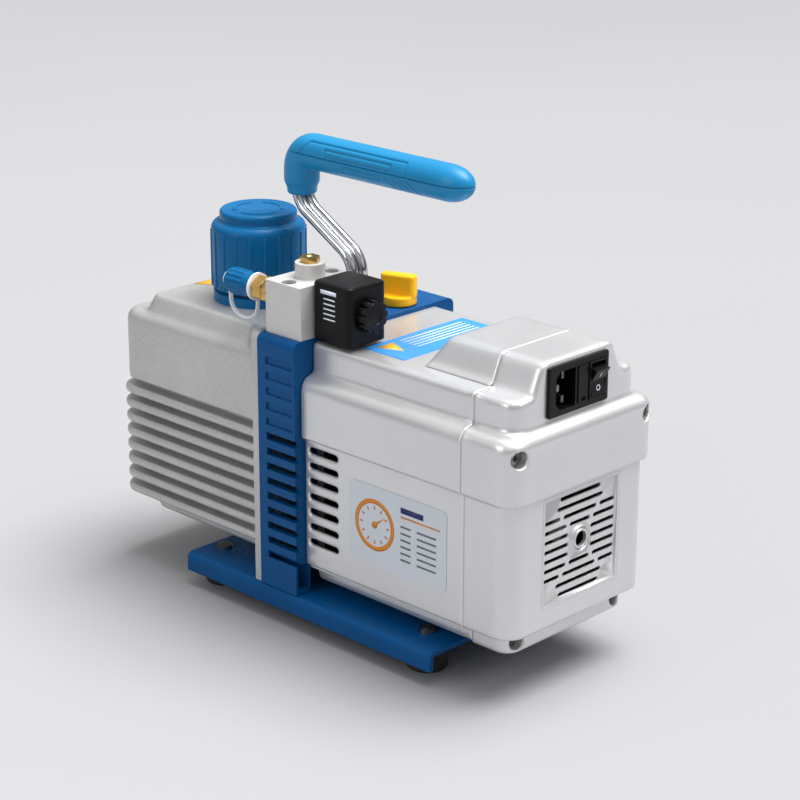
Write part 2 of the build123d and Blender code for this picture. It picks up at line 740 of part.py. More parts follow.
def make_end_cover():
    lower_x = end_x - 2.5
    strip_x = end_x - 10.1
    body = slab(seam_x, strip_x, tray_half, tray_z, shell_z + 1, 10.0)
    low = [e for e in body.faces().sort_by(Axis.Z)[0].edges() if abs(e.center().X - seam_x) > 0.01]
    body = fillet(low, 2.4)
    body += slab(seam_x, lower_x, shell_half, shell_z, cover_z + 1, 13.0)
    body += slab(seam_x, end_x, cover_half, cover_z, shoulder_z, 13.0, edge=7.0)
    body += slab(seam_x, hood_face_x, deck_half, shoulder_z - 6, deck_z, 10.0, edge=3.0)
    body += hood_solid(0, seam_x, hood_face_x, deck_z - 4)
    hollow = slab(seam_x - 1, strip_x - wall, tray_half - wall, tray_z + wall, shell_z + 4, 7.5)
    hollow += slab(seam_x - 1, lower_x - wall, shell_half - wall, shell_z + wall, cover_z + 4, 10.5)
    hollow += slab(seam_x - 1, end_x - wall, cover_half - wall, cover_z + wall, shoulder_z - wall, 10.5, edge=6.0)
    hollow += slab(seam_x - 1, hood_face_x - wall, deck_half - wall, shoulder_z - 10, deck_z - wall, 7.5)
    hollow += hood_solid(wall, seam_x - 1, hood_face_x - wall, deck_z - 10)
    posts = Part()
    for y, z, face in cover_screw_spots():
        posts += bar_x(seam_x, face, y, z, 6.6)
    posts &= body
    body -= hollow - posts
    for y, z, face in cover_screw_spots():
        body -= bar_x(face - 9, face + 20, y, z, 5.0)
        body -= bar_x(seam_x - 1, face, y, z, 2.2)
    body -= box(lower_x - grille_recess, lower_x + 1, -grille_half, grille_half,
                grille_z - grille_half, grille_z + grille_half)
    body += bar_x(lower_x - wall, lower_x, 0, axis_z, 8.2)
    body -= bar_x(lower_x - 0.8, lower_x + 1, 0, axis_z, 7.0) - bar_x(lower_x - 0.8, lower_x + 1, 0, axis_z, 6.0)
    body -= bar_x(lower_x - wall - 1, lower_x + 1, 0, axis_z, 4.7)
    for y0, y1, z in grille_slots():
        slot = Plane.YZ * Pos((y0 + y1) / 2, z) * SlotOverall(y1 - y0, grille_slot)
        body -= Pos(lower_x, 0, 0) * extrude(slot, 6, both=True)
    cut = box(hood_face_x - 10, hood_face_x + 1, module_y - body_half_y - 0.02, module_y + body_half_y + 0.02,
              module_z - body_half_z - 0.02, module_z + body_half_z + 0.02)
    return body - cut


def make_cover_screws():
    screws = []
    for y, z, face in cover_screw_spots():
        screw = bar_x(face - 9, face - 6, y, z, 4.2) + bar_x(seam_x - 10, face - 9, y, z, 2.2)
        screw -= hex_x(face - 7.6, face - 5, y, z, 3.2)
        screws.append(screw)
    return screws


# Power inlet

def make_module():
    body = box(body_x0, hood_face_x, module_y - body_half_y, module_y + body_half_y,
               module_z - body_half_z, module_z + body_half_z)
    bezel = box(hood_face_x, bezel_x, module_y - bezel_half_y, module_y + bezel_half_y,
                module_z - bezel_half_z, module_z + bezel_half_z)
    bezel = fillet(bezel.edges().filter_by(Axis.X), 1.6)
    bezel = chamfer(bezel.faces().sort_by(Axis.X)[-1].edges(), 0.6)
    body += bezel
    socket = Plane.YZ * Pos(socket_y, module_z) * Rectangle(2 * socket_half_y, 2 * socket_half_z)
    low_corners = socket.vertices().sort_by(Axis.Y)[:2]
    socket = chamfer(low_corners, 3.6)
    body -= Pos(bezel_x - 17, 0, 0) * extrude(socket, 30)
    body -= box(body_x0 + 4, bezel_x + 1, drawer_y - drawer_half_y, drawer_y + drawer_half_y,
                module_z - drawer_half_z, module_z + drawer_half_z)
    body -= box(body_x0 + 12, bezel_x + 1, switch_y - switch_half_y, switch_y + switch_half_y,
                module_z - switch_half_z, module_z + switch_half_z)
    pivot = bar_y(switch_y - switch_half_y - 1, switch_y + switch_half_y + 1, rocker_pivot_x, module_z, 1.5)
    body += pivot
    frame = box(bezel_x, bezel_x + 0.8, switch_y - switch_half_y - 1.5, switch_y + switch_half_y + 1.5,
                module_z - switch_half_z - 1.1, module_z + switch_half_z + 1.1)
    frame -= box(bezel_x - 1, bezel_x + 2, switch_y - switch_half_y, switch_y + switch_half_y,
                 module_z - switch_half_z, module_z + switch_half_z)
    return body + frame


pin_spots = [(socket_y - 2.2, 0.0), (socket_y + 1.8, 7.0), (socket_y + 1.8, -7.0)]


def make_pins():
    pins = []
    for y, rise in pin_spots:
        pins.append(box(bezel_x - 17, bezel_x - 4, y - 1.0, y + 1.0, module_z + rise - 2.0, module_z + rise + 2.0))
    return pins


def make_drawer():
    slip = 0.15
    body = box(body_x0 + 6, bezel_x + 0.6, drawer_y - drawer_half_y + slip, drawer_y + drawer_half_y - slip,
               module_z - drawer_half_z + slip, module_z + drawer_half_z - slip)
    body -= box(body_x0 + 5, body_x0 + 17, drawer_y - drawer_half_y - 1, drawer_y + drawer_half_y + 1,
                module_z - 8.6, module_z + 8.6)
    body -= bar_z(module_z - 10.1, module_z + 10.1, body_x0 + 20, drawer_y, 2.6)
    body -= box(bezel_x - 0.4, bezel_x + 1, drawer_y - 2, drawer_y + 2, module_z - 10, module_z - 7.6)
    return body


def make_fuse():
    return bar_z(module_z - 10.0, module_z + 10.0, body_x0 + 20, drawer_y, 2.5)


def make_rocker():
    half = switch_half_z - 2.0
    outline = Polyline((-4, -4), (2, -half), (8, -half), (5.4, 0), (8, half), (2, half), (-4, 4), close=True)
    side = switch_half_y - 0.3
    rocker = extrude(Plane.XZ * make_face(outline), side, both=True)
    rocker -= Rot(90, 0, 0) * Cylinder(1.5 + running_gap, 4 * side)
    return Pos(rocker_pivot_x, switch_y, module_z) * Rot(0, rocker_tilt, 0) * rocker


# Labels

def make_rating_label():
    sheet = Plane.XZ * Pos(81.0, 82.5) * RectangleRounded(78.0, 50.0, 4.0)
    return Pos(0, -shell_half, 0) * extrude(sheet, 0.4)


def make_top_label():
    return Pos(50.6, 1.4, deck_z + 0.2) * Box(32.4, 83.6, 0.4)


# Motor insides

def make_stator():
    core = bar_x(core_x0, core_x1, 0, axis_z, stator_radius)
    core -= bar_x(core_x0 - 1, core_x1 + 1, 0, axis_z, stator_bore)
    core += box(core_x0, core_x1, -shell_half + wall, -40, axis_z - 6, axis_z + 6)
    core += box(core_x0, core_x1, 40, shell_half - wall, axis_z - 6, axis_z + 6)
    return core - bar_x(core_x0 - 1, core_x1 + 1, 0, axis_z, stator_bore)


def make_winding():
    rings = []
    for x0, x1 in ((core_x0 - 12, core_x0), (core_x1, core_x1 + 12)):
        ring = bar_x(x0, x1, 0, axis_z, 44.0)
        rings.append(ring - bar_x(x0 - 1, x1 + 1, 0, axis_z, 31.0))
    return rings


def bell_stations():
    return ((12.0, 18.0), (122.0, 128.0))


def make_bells():
    bells = []
    for x0, x1 in bell_stations():
        bell = box(x0, x1, -shell_half + wall, shell_half - wall, shell_z + 4, axis_z + 42)
        bell -= bar_x(x0 - 1, x1 + 1, 0, axis_z, bearing_radius)
        for turn in range(6):
            hole = Pos(0, 0, axis_z) * Rot(60 * turn, 0, 0) * Pos(0, 0, 31)
            bell -= hole * Pos((x0 + x1) / 2, 0, 0) * Rot(0, 90, 0) * Cylinder(8, x1 - x0 + 2)
        bells.append(bell)
    return bells


def make_bearings():
    rings = []
    for x0, x1 in bell_stations():
        ring = bar_x(x0, x1, 0, axis_z, bearing_radius)
        rings.append(ring - bar_x(x0 - 1, x1 + 1, 0, axis_z, shaft_radius + running_gap))
    return rings


def make_rotor():
    core = bar_x(core_x0, core_x1, 0, axis_z, rotor_radius)
    return core - bar_x(core_x0 - 1, core_x1 + 1, 0, axis_z, shaft_radius)


def make_shaft():
    return bar_x(-8.0, fan_x1, 0, axis_z, shaft_radius)


def make_fan():
    hub = bar_x(fan_x0, fan_x1, 0, axis_z, 13.0)
    plate = bar_x(fan_x0, fan_x0 + 1.6, 0, axis_z, fan_radius)
    fan = hub + plate
    for turn in range(8):
        blade = Pos(0, 0, axis_z) * Rot(45 * turn, 0, 0)
        fan += blade * box(fan_x0, fan_x1 - 1, -0.9, 0.9, 11.0, fan_radius)
    return fan - bar_x(fan_x0 - 1, fan_x1 + 1, 0, axis_z, shaft_radius)


def make_capacitor():
    body = bar_x(22, 68, 25, axis_z + 69.5, 15.0)
    return body + bar_x(68, 72, 25, axis_z + 69.5, 5.0)


def make_coupling():
    hub = bar_x(-24.0, -1.0, 0, axis_z, 18.0)
    hub -= bar_x(-9.0, 0, 0, axis_z, shaft_radius)
    return hub - bar_x(-25.0, -15.0, 0, axis_z, pump_shaft_radius)


# Pump insides

def make_pump_body():
    body = bar_x(pump_x0, pump_x1, 0, axis_z, pump_body_radius)
    drop = pump_bore_radius - pump_rotor_radius - loose_gap
    body -= bar_x(pump_x0 - 1, pump_x1 - 6, 0, axis_z - drop, pump_bore_radius)
    body -= bar_x(pump_x0, pump_x1 + 1, 0, axis_z, pump_shaft_radius + running_gap)
    foot = box(pump_x1 - 1, flange_x, -26, 26, axis_z - 26, axis_z + 26)
    foot -= bar_x(pump_x1 - 7, flange_x + 1, 0, axis_z, pump_shaft_radius + running_gap)
    return body + foot


def make_pump_plate():
    return bar_x(pump_x0 - 6, pump_x0, 0, axis_z, pump_body_radius)


def vane_box(grow):
    reach = pump_rotor_radius
    return box(pump_x0 + 0.4, pump_x1 - 6.4, -1.4 - grow, 1.4 + grow, axis_z - reach - grow, axis_z + reach + grow)


def make_pump_rotor():
    rotor = bar_x(pump_x0 + 0.4, pump_x1 - 6.4, 0, axis_z, pump_rotor_radius)
    rotor -= vane_box(0.0) - bar_x(pump_x0, pump_x1, 0, axis_z, 12.0)
    return rotor + bar_x(pump_x1 - 7, -16.0, 0, axis_z, pump_shaft_radius)


def make_vanes():
    blades = vane_box(0.0) & bar_x(pump_x0, pump_x1, 0, axis_z, pump_rotor_radius)
    blades -= bar_x(pump_x0, pump_x1, 0, axis_z, 12.0)
    return blades


grip = make_grip()
pieces = {
    "base_plate": make_base(),
    "rubber_feet": make_feet(),
    "foot_screws": make_foot_screws(),
    "saddle_bracket": make_saddle(),
    "saddle_bolts": make_saddle_bolts(),
    "pump_flange": make_flange(),
    "oil_tank": make_tank(),
    "tank_gasket": make_gasket(),
    "tank_screws": make_tank_screws(),
    "sight_window": make_sight_window(),
    "sight_ring": make_sight_ring(),
    "drain_plug": make_drain_plug(),
    "exhaust_ring": make_exhaust_ring(),
    "exhaust_o_ring": make_o_ring(),
    "exhaust_cap": make_cap(),
    "mist_filter": make_filter(),
    "manifold_block": make_block(),
    "block_screws": make_block_screws(),
    "port_plug": make_port_plug(),
    "inlet_fitting": make_fitting(),
    "flare_cap": make_flare_cap(),
    "cap_strap": make_strap(),
    "solenoid_coil": make_coil(),
    "armature_tube": make_tube(),
    "plunger": make_plunger(),
    "plunger_spring": make_spring(),
    "coil_nut": make_coil_nut(),
    "gas_ballast_knob": make_knob(),
    "handle_rod": make_rod(rod_radius, saddle_top_z - 12, grip_end_x - 8),
    "grip_upper": grip & box(-200, 200, -50, 50, grip_z, 400),
    "grip_lower": grip & box(-200, 200, -50, 50, 200, grip_z),
    "handle_nuts": make_handle_nuts(),
    "top_cover": make_top_cover(),
    "terminal_hood": make_terminal_hood(),
    "lower_shell": make_lower_shell(),
    "bottom_tray": make_tray(),
    "end_cover": make_end_cover(),
    "cover_screws": make_cover_screws(),
    "inlet_module": make_module(),
    "inlet_pins": make_pins(),
    "fuse_drawer": make_drawer(),
    "glass_fuse": make_fuse(),
    "rocker_switch": make_rocker(),
    "rating_label": make_rating_label(),
    "top_label": make_top_label(),
    "stator_core": make_stator(),
    "stator_winding": make_winding(),
    "end_bells": make_bells(),
    "motor_bearings": make_bearings(),
    "rotor_core": make_rotor(),
    "motor_shaft": make_shaft(),
    "cooling_fan": make_fan(),
    "run_capacitor": make_capacitor(),
    "shaft_coupling": make_coupling(),
    "pump_stator": make_pump_body(),
    "pump_end_plate": make_pump_plate(),
    "pump_rotor": make_pump_rotor(),
    "pump_vanes": make_vanes(),
}
for name, solid in pieces.items():
    export(name, solid)
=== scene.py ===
import bpy
import bmesh
import json
import math
import numpy as np
from mathutils import Matrix, Vector


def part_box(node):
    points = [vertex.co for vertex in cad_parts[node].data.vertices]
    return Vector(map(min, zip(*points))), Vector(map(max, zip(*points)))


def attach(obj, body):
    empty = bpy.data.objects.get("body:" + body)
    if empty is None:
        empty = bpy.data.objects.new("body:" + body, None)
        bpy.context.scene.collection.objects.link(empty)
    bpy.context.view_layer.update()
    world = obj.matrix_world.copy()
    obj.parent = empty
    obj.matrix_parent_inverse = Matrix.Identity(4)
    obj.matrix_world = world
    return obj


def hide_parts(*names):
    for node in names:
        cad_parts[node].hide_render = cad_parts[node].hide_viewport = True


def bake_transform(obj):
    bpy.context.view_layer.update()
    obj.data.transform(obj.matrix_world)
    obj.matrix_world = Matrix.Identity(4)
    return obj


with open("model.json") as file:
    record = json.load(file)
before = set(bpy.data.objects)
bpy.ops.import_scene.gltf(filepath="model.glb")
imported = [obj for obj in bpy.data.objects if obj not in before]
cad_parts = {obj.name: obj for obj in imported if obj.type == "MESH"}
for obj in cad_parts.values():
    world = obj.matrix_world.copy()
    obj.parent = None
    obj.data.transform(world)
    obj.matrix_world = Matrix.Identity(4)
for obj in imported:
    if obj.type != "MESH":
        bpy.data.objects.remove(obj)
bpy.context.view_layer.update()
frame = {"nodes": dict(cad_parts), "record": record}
nodes = frame["nodes"]
scene = bpy.context.scene
mm = 0.001
print("frame loaded")


# Finishes. Colours are linear; patch and grain are noise scales per metre; depth and soft are metres.

shared = {"wearAndHighlightRadius": 0.0006,  # how far the lighter edge (wear and painted highlight) reaches in from an edge
          "wearAndHighlightScale": 260.0, "wearAndHighlightBreak": (0.45, 0.65),  # size of the scuffs in the lighter edge and how broken up the wear and painted highlight are
          "speckSpread": (0.52, 0.75), "smudge": 2.7, "coatRough": 0.1, "bevelRays": 4}


def newMaterial(name):
    material = bpy.data.materials.new(name)
    material.use_nodes = True
    return material, material.node_tree, material.node_tree.nodes["Principled BSDF"]


def addNoise(tree, scale, detail=3.0, stretch=None):
    noise = tree.nodes.new("ShaderNodeTexNoise")
    noise.inputs["Scale"].default_value = scale
    noise.inputs["Detail"].default_value = detail
    place = tree.nodes.new("ShaderNodeTexCoord")
    source = place.outputs["Object"]
    if stretch:
        mapping = tree.nodes.new("ShaderNodeMapping")
        mapping.inputs["Scale"].default_value = stretch
        tree.links.new(source, mapping.inputs["Vector"])
        source = mapping.outputs["Vector"]
    tree.links.new(source, noise.inputs["Vector"])
    return noise.outputs["Fac"]


def addRange(tree, source, low, high, start=0.3, end=0.7):
    spread = tree.nodes.new("ShaderNodeMapRange")
    spread.inputs["From Min"].default_value = start
    spread.inputs["From Max"].default_value = end
    spread.inputs["To Min"].default_value = low
    spread.inputs["To Max"].default_value = high
    tree.links.new(source, spread.inputs["Value"])
    return spread.outputs["Result"]


def mixColour(tree, factor, first, second):
    mix = tree.nodes.new("ShaderNodeMix")
    mix.data_type = "RGBA"
    for socket, value in ((mix.inputs[0], factor), (mix.inputs[6], first), (mix.inputs[7], second)):
        if isinstance(value, bpy.types.NodeSocket):
            tree.links.new(value, socket)
        else:
            socket.default_value = (*value, 1.0)
    return mix.outputs[2]


def addBump(tree, shader, height, depth, strength, before=None):
    bump = tree.nodes.new("ShaderNodeBump")
    bump.inputs["Strength"].default_value = strength
    bump.inputs["Distance"].default_value = depth
    tree.links.new(height, bump.inputs["Height"])
    if before:
        tree.links.new(before, bump.inputs["Normal"])
    tree.links.new(bump.outputs["Normal"], shader.inputs["Normal"])


def roundedNormal(tree, radius):
    bevel = tree.nodes.new("ShaderNodeBevel")
    bevel.samples = shared["bevelRays"]
    bevel.inputs["Radius"].default_value = radius
    return bevel.outputs["Normal"]


# Near 1 along edges, where the rounded normal leaves the face's own, and 0 on flats
def edgeMask(tree, radius, start=0.02, end=0.25):
    facing = tree.nodes.new("ShaderNodeNewGeometry")
    dot = tree.nodes.new("ShaderNodeVectorMath")
    dot.operation = "DOT_PRODUCT"
    tree.links.new(roundedNormal(tree, radius), dot.inputs[0])
    tree.links.new(facing.outputs["Normal"], dot.inputs[1])
    return addRange(tree, dot.outputs["Value"], 1.0, 0.0, 1.0 - end, 1.0 - start)


def makeFinish(name, look):
    material, tree, shader = newMaterial(name)
    broad = addNoise(tree, look["patch"], 4.0)
    colour = mixColour(tree, addRange(tree, broad, 0.0, 1.0), look["deep"], look["pale"])
    grain = addNoise(tree, look["grain"], 2.0, look.get("grainStretch"))
    if "speck" in look:
        speckle = addRange(tree, grain, 0.0, 1.0, *shared["speckSpread"])
        colour = mixColour(tree, speckle, colour, look["speck"])
    # Lighter colour along edges, broken up by noise: part edge wear, part painted highlight on the bends
    if "wear" in look:
        wearAndHighlightNoise = addNoise(tree, shared["wearAndHighlightScale"], 3.0)
        edge = tree.nodes.new("ShaderNodeMath")
        edge.operation = "MULTIPLY"
        tree.links.new(edgeMask(tree, shared["wearAndHighlightRadius"]), edge.inputs[0])
        tree.links.new(addRange(tree, wearAndHighlightNoise, 0.0, 1.0, *shared["wearAndHighlightBreak"]), edge.inputs[1])
        colour = mixColour(tree, edge.outputs["Value"], colour, look["wear"])
    tree.links.new(colour, shader.inputs["Base Color"])
    smudge = addNoise(tree, look["patch"] * shared["smudge"], 3.0)
    tree.links.new(addRange(tree, smudge, *look["rough"]), shader.inputs["Roughness"])
    shader.inputs["Metallic"].default_value = look.get("metal", 0.0)
    shader.inputs["Specular IOR Level"].default_value = look.get("shine", 0.5)
    shader.inputs["Coat Weight"].default_value = look.get("coat", 0.0)
    shader.inputs["Coat Roughness"].default_value = shared["coatRough"]
    rounded = roundedNormal(tree, look["soft"]) if "soft" in look else None
    addBump(tree, shader, grain, look["depth"], look["bump"], rounded)
    return material


looks = {
    "castSilver": {"deep": (0.46, 0.46, 0.46), "pale": (0.53, 0.53, 0.53), "patch": 18, "grain": 1500,
                   "depth": 0.0003, "bump": 0.75, "rough": (0.33, 0.43), "metal": 0.6,
                   "speck": (0.66, 0.66, 0.67), "shine": 0.4},
    "satinSilver": {"deep": (0.65, 0.653, 0.66), "pale": (0.70, 0.703, 0.71), "patch": 9, "grain": 3200,
                    "depth": 0.00006, "bump": 0.3, "rough": (0.27, 0.35), "metal": 0.65,
                    "speck": (0.78, 0.78, 0.79), "soft": 0.0006},
    # bluePaint's edge colour is a lighter blue: edge wear and a painted edge highlight
    "bluePaint": {"deep": (0.0015, 0.064, 0.205), "pale": (0.002, 0.078, 0.245), "patch": 14, "grain": 1800,
                  "depth": 0.00005, "bump": 0.3, "rough": (0.26, 0.36), "shine": 0.12,
                  "wear": (0.02, 0.2, 0.42), "soft": 0.0007},
    "blueMoulded": {"deep": (0.0015, 0.10, 0.255), "pale": (0.002, 0.118, 0.30), "patch": 20, "grain": 2200,
                    "depth": 0.00004, "bump": 0.3, "rough": (0.26, 0.34), "shine": 0.14, "soft": 0.0003},
    "blueGrip": {"deep": (0.004, 0.20, 0.42), "pale": (0.006, 0.22, 0.46), "patch": 16, "grain": 2200,
                 "depth": 0.00005, "bump": 0.35, "rough": (0.33, 0.42), "shine": 0.3},
    "blackMoulded": {"deep": (0.0045, 0.0045, 0.005), "pale": (0.007, 0.007, 0.0075), "patch": 30,
                     "grain": 2300, "depth": 0.00008, "bump": 0.5, "rough": (0.3, 0.42), "shine": 0.14,
                     "soft": 0.0006},
    "blackSmooth": {"deep": (0.004, 0.004, 0.0045), "pale": (0.006, 0.006, 0.0065), "patch": 24,
                    "grain": 2600, "depth": 0.00004, "bump": 0.3, "rough": (0.24, 0.34), "shine": 0.18,
                    "soft": 0.0003},
    "yellowMoulded": {"deep": (0.90, 0.42, 0.001), "pale": (0.98, 0.50, 0.002), "patch": 30, "grain": 2000,
                      "depth": 0.00005, "bump": 0.3, "rough": (0.3, 0.38), "shine": 0.3, "soft": 0.0005},
    "footRubber": {"deep": (0.012, 0.012, 0.012), "pale": (0.022, 0.022, 0.021), "patch": 60, "grain": 1200,
                   "depth": 0.0002, "bump": 0.6, "rough": (0.65, 0.85)},
    "boltSteel": {"deep": (0.16, 0.155, 0.15), "pale": (0.30, 0.29, 0.28), "patch": 160, "grain": 1600,
                  "depth": 0.00008, "bump": 0.5, "rough": (0.3, 0.5), "metal": 1.0},
    "polishedChrome": {"deep": (0.50, 0.50, 0.51), "pale": (0.58, 0.58, 0.59), "patch": 30, "grain": 900,
                       "depth": 0.00002, "bump": 0.15, "rough": (0.05, 0.12), "metal": 1.0},
    "turnedBrass": {"deep": (0.52, 0.32, 0.09), "pale": (0.68, 0.44, 0.14), "patch": 90, "grain": 1500,
                    "depth": 0.00006, "bump": 0.5, "rough": (0.2, 0.36), "metal": 1.0,
                    "grainStretch": (6, 1, 1)},
    "milledBlock": {"deep": (0.56, 0.552, 0.54), "pale": (0.61, 0.602, 0.59), "patch": 24, "grain": 2200,
                    "depth": 0.00005, "bump": 0.35, "rough": (0.36, 0.46), "metal": 0.2,
                    "grainStretch": (1, 1, 4), "soft": 0.0005},
    "whiteStrap": {"deep": (0.84, 0.84, 0.85), "pale": (0.90, 0.90, 0.90), "patch": 60, "grain": 1500,
                   "depth": 0.00006, "bump": 0.3, "rough": (0.35, 0.48), "coat": 0.1},
    "filterFelt": {"deep": (0.52, 0.50, 0.42), "pale": (0.70, 0.68, 0.60), "patch": 120, "grain": 900,
                   "depth": 0.0004, "bump": 0.9, "rough": (0.85, 0.98), "grainStretch": (1, 1, 4)},
    "copperWire": {"deep": (0.36, 0.13, 0.05), "pale": (0.58, 0.24, 0.10), "patch": 90, "grain": 700,
                   "depth": 0.0004, "bump": 0.8, "rough": (0.25, 0.4), "metal": 0.8,
                   "grainStretch": (8, 1, 1)},
    "coreSteel": {"deep": (0.16, 0.16, 0.17), "pale": (0.30, 0.30, 0.31), "patch": 60, "grain": 700,
                  "depth": 0.0002, "bump": 0.6, "rough": (0.4, 0.6), "metal": 0.9,
                  "grainStretch": (6, 1, 1)},
    "greyIron": {"deep": (0.10, 0.10, 0.105), "pale": (0.18, 0.18, 0.185), "patch": 50, "grain": 1100,
                 "depth": 0.0002, "bump": 0.6, "rough": (0.4, 0.6), "metal": 0.8},
    "carbonVane": {"deep": (0.02, 0.02, 0.02), "pale": (0.045, 0.043, 0.04), "patch": 90, "grain": 1800,
                   "depth": 0.0001, "bump": 0.4, "rough": (0.4, 0.55)},
    "labelFilm": {"deep": (0.57, 0.62, 0.67), "pale": (0.61, 0.65, 0.71), "patch": 12, "grain": 3000,
                  "depth": 0.00002, "bump": 0.1, "rough": (0.3, 0.38)},
    "blueFilm": {"deep": (0.03, 0.25, 0.66), "pale": (0.04, 0.29, 0.72), "patch": 12, "grain": 3000,
                 "depth": 0.00002, "bump": 0.1, "rough": (0.3, 0.4)},
}
inks = {
    "orangeInk": ((0.62, 0.205, 0.010), (0.68, 0.235, 0.013)),
    "amberInk": ((0.80, 0.42, 0.03), (0.86, 0.47, 0.04)),
    "navyInk": ((0.008, 0.02, 0.12), (0.012, 0.028, 0.16)),
    "greyInk": ((0.13, 0.14, 0.17), (0.16, 0.17, 0.20)),
    "paleInk": ((0.70, 0.78, 0.88), (0.76, 0.83, 0.92)),
}
for name, (deep, pale) in inks.items():
    looks[name] = {"deep": deep, "pale": pale, "patch": 60, "grain": 3000, "depth": 0.00001, "bump": 0.1,
                   "rough": (0.35, 0.42)}
materials = {name: makeFinish(name, look) for name, look in looks.items()}


glassLook = {"deep": (0.80, 0.78, 0.62), "pale": (0.9, 0.9, 0.82), "patch": 90, "grain": 300, "depth": 0.00003,
             "bump": 0.2, "rough": (0.04, 0.16), "clear": 0.85, "bend": 1.47}


def makeGlass(name, look):
    material, tree, shader = newMaterial(name)
    shader.inputs["Transmission Weight"].default_value = look["clear"]
    shader.inputs["IOR"].default_value = look["bend"]
    smudge = addNoise(tree, look["patch"], 3.0)
    tree.links.new(addRange(tree, smudge, *look["rough"]), shader.inputs["Roughness"])
    tone = mixColour(tree, addRange(tree, smudge, 0.0, 1.0), look["deep"], look["pale"])
    tree.links.new(tone, shader.inputs["Base Color"])
    addBump(tree, shader, addNoise(tree, look["grain"], 2.0), look["depth"], look["bump"])
    return material


materials["oilGlass"] = makeGlass("oilGlass", glassLook)

slotFinish = {
    "blue_paint": "bluePaint", "black_rubber": "footRubber", "bolt_steel": "boltSteel",
    "cast_silver": "castSilver", "clear_glass": "oilGlass", "brass": "turnedBrass",
    "blue_plastic": "blueMoulded", "filter_paper": "filterFelt", "block_aluminium": "milledBlock",
    "white_plastic": "whiteStrap", "black_plastic": "blackMoulded", "yellow_plastic": "yellowMoulded",
    "chrome": "polishedChrome", "blue_grip": "blueGrip", "silver_plastic": "satinSilver",
    "label_film": "labelFilm", "blue_film": "blueFilm", "core_steel": "coreSteel",
    "copper_wire": "copperWire", "cast_iron": "greyIron", "vane_carbon": "carbonVane",
}
# Pieces with a finish of their own inside their slot; the motor's inner parts (end bells, armature tube, stator
# core, run capacitor, cooling fan) are darkened as painted shade seen through the vents
ownFinishAndVentShade = {"end_bells": "blackMoulded", "armature_tube": "coreSteel", "stator_core": "blackMoulded",
             "inlet_pins": "boltSteel", "inlet_module": "blackSmooth", "fuse_drawer": "blackSmooth",
             "rocker_switch": "blackSmooth", "run_capacitor": "blackMoulded", "cooling_fan": "blackMoulded"}
nodeSlot = {part["node"]: part["material_slot"] for part in frame["record"]["subparts"]}
for name, node in nodes.items():
    node.data.materials.clear()
    node.data.materials.append(materials[ownFinishAndVentShade.get(name, slotFinish[nodeSlot[name]])])
print("finishes ready")


# Making pieces

def addObject(name, mesh):
    piece = bpy.data.objects.new(name, mesh)
    scene.collection.objects.link(piece)
    return piece


def fromBmesh(name, shape):
    mesh = bpy.data.meshes.new(name)
    shape.to_mesh(mesh)
    shape.free()
    return addObject(name, mesh)


def bake(piece):
    bpy.context.view_layer.update()
    seen = piece.evaluated_get(bpy.context.evaluated_depsgraph_get())
    mesh = bpy.data.meshes.new_from_object(seen)
    piece.modifiers.clear()
    piece.data = mesh
    return piece


def shade(piece, angle):
    piece.data.shade_smooth()
    if angle < 180:
        piece.data.set_sharp_from_angle(angle=math.radians(angle))


# Finish and body of a finished piece; faces meeting above the angle keep a sharp edge
def settle(piece, finishName, body="housing", replaced=(), angle=180):
    piece.data.materials.clear()
    piece.data.materials.append(materials[finishName])
    if angle:
        shade(piece, angle)
    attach(piece, body)
    if replaced:
        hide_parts(*replaced)
    return piece


# Each round pulls every point towards the mean of its neighbours
def relax(points, edges, strength, rounds):
    count = len(points)
    near = np.bincount(edges.ravel(), minlength=count).astype(float)
    pull = 0.5 * strength[:, None]
    for turn in range(rounds):
        total = np.zeros_like(points)
        for axis in range(3):
            total[:, axis] = np.bincount(edges[:, 0], points[edges[:, 1], axis], count)
            total[:, axis] += np.bincount(edges[:, 1], points[edges[:, 0], axis], count)
        points = points + pull * (total / near[:, None] - points)
    return points


def readPoints(mesh):
    points = np.zeros(len(mesh.vertices) * 3)
    mesh.vertices.foreach_get("co", points)
    return points.reshape(-1, 3)


def writePoints(mesh, points):
    mesh.vertices.foreach_set("co", points.ravel())
    mesh.update()


# An evenly meshed copy of a CAD piece with its edges rounded: firm holds places back, broad adds wide rounding
def softCopy(node, name, cell, rounds, broad=None, broadRounds=0, trim=None, firm=None):
    shape = bmesh.new()
    shape.from_mesh(nodes[node].data)
    bmesh.ops.remove_doubles(shape, verts=shape.verts, dist=1e-6)
    if trim:
        place, normal = trim
        cut = bmesh.ops.bisect_plane(shape, geom=shape.verts[:] + shape.edges[:] + shape.faces[:], dist=1e-7,
                                     plane_co=place, plane_no=normal, clear_inner=True)
        rim = [edge for edge in cut["geom_cut"] if isinstance(edge, bmesh.types.BMEdge)]
        bmesh.ops.triangle_fill(shape, use_beauty=True, edges=rim)
        bmesh.ops.recalc_face_normals(shape, faces=shape.faces)
    piece = fromBmesh(name, shape)
    even = piece.modifiers.new("even", "REMESH")
    even.mode = "VOXEL"
    even.voxel_size = cell * mm
    bake(piece)
    points = readPoints(piece.data)
    edges = np.zeros(len(piece.data.edges) * 2, dtype=np.int64)
    piece.data.edges.foreach_get("vertices", edges)
    edges = edges.reshape(-1, 2)
    points = relax(points, edges, firm(points / mm) if firm else np.ones(len(points)), rounds)
    if broad:
        points = relax(points, edges, broad(points / mm), broadRounds)
    writePoints(piece.data, points)
    print(name, len(piece.data.polygons), "faces")
    return piece


def ramp(value, start, end):
    return np.clip((value - start) / (end - start), 0.0, 1.0)


# Geometry Nodes trees for what repeats

def newTree(name, inputs):
    tree = bpy.data.node_groups.new(name, "GeometryNodeTree")
    for label, kind in inputs.items():
        tree.interface.new_socket(label, in_out="INPUT", socket_type="NodeSocket" + kind)
    tree.interface.new_socket("Geometry", in_out="OUTPUT", socket_type="NodeSocketGeometry")
    return tree


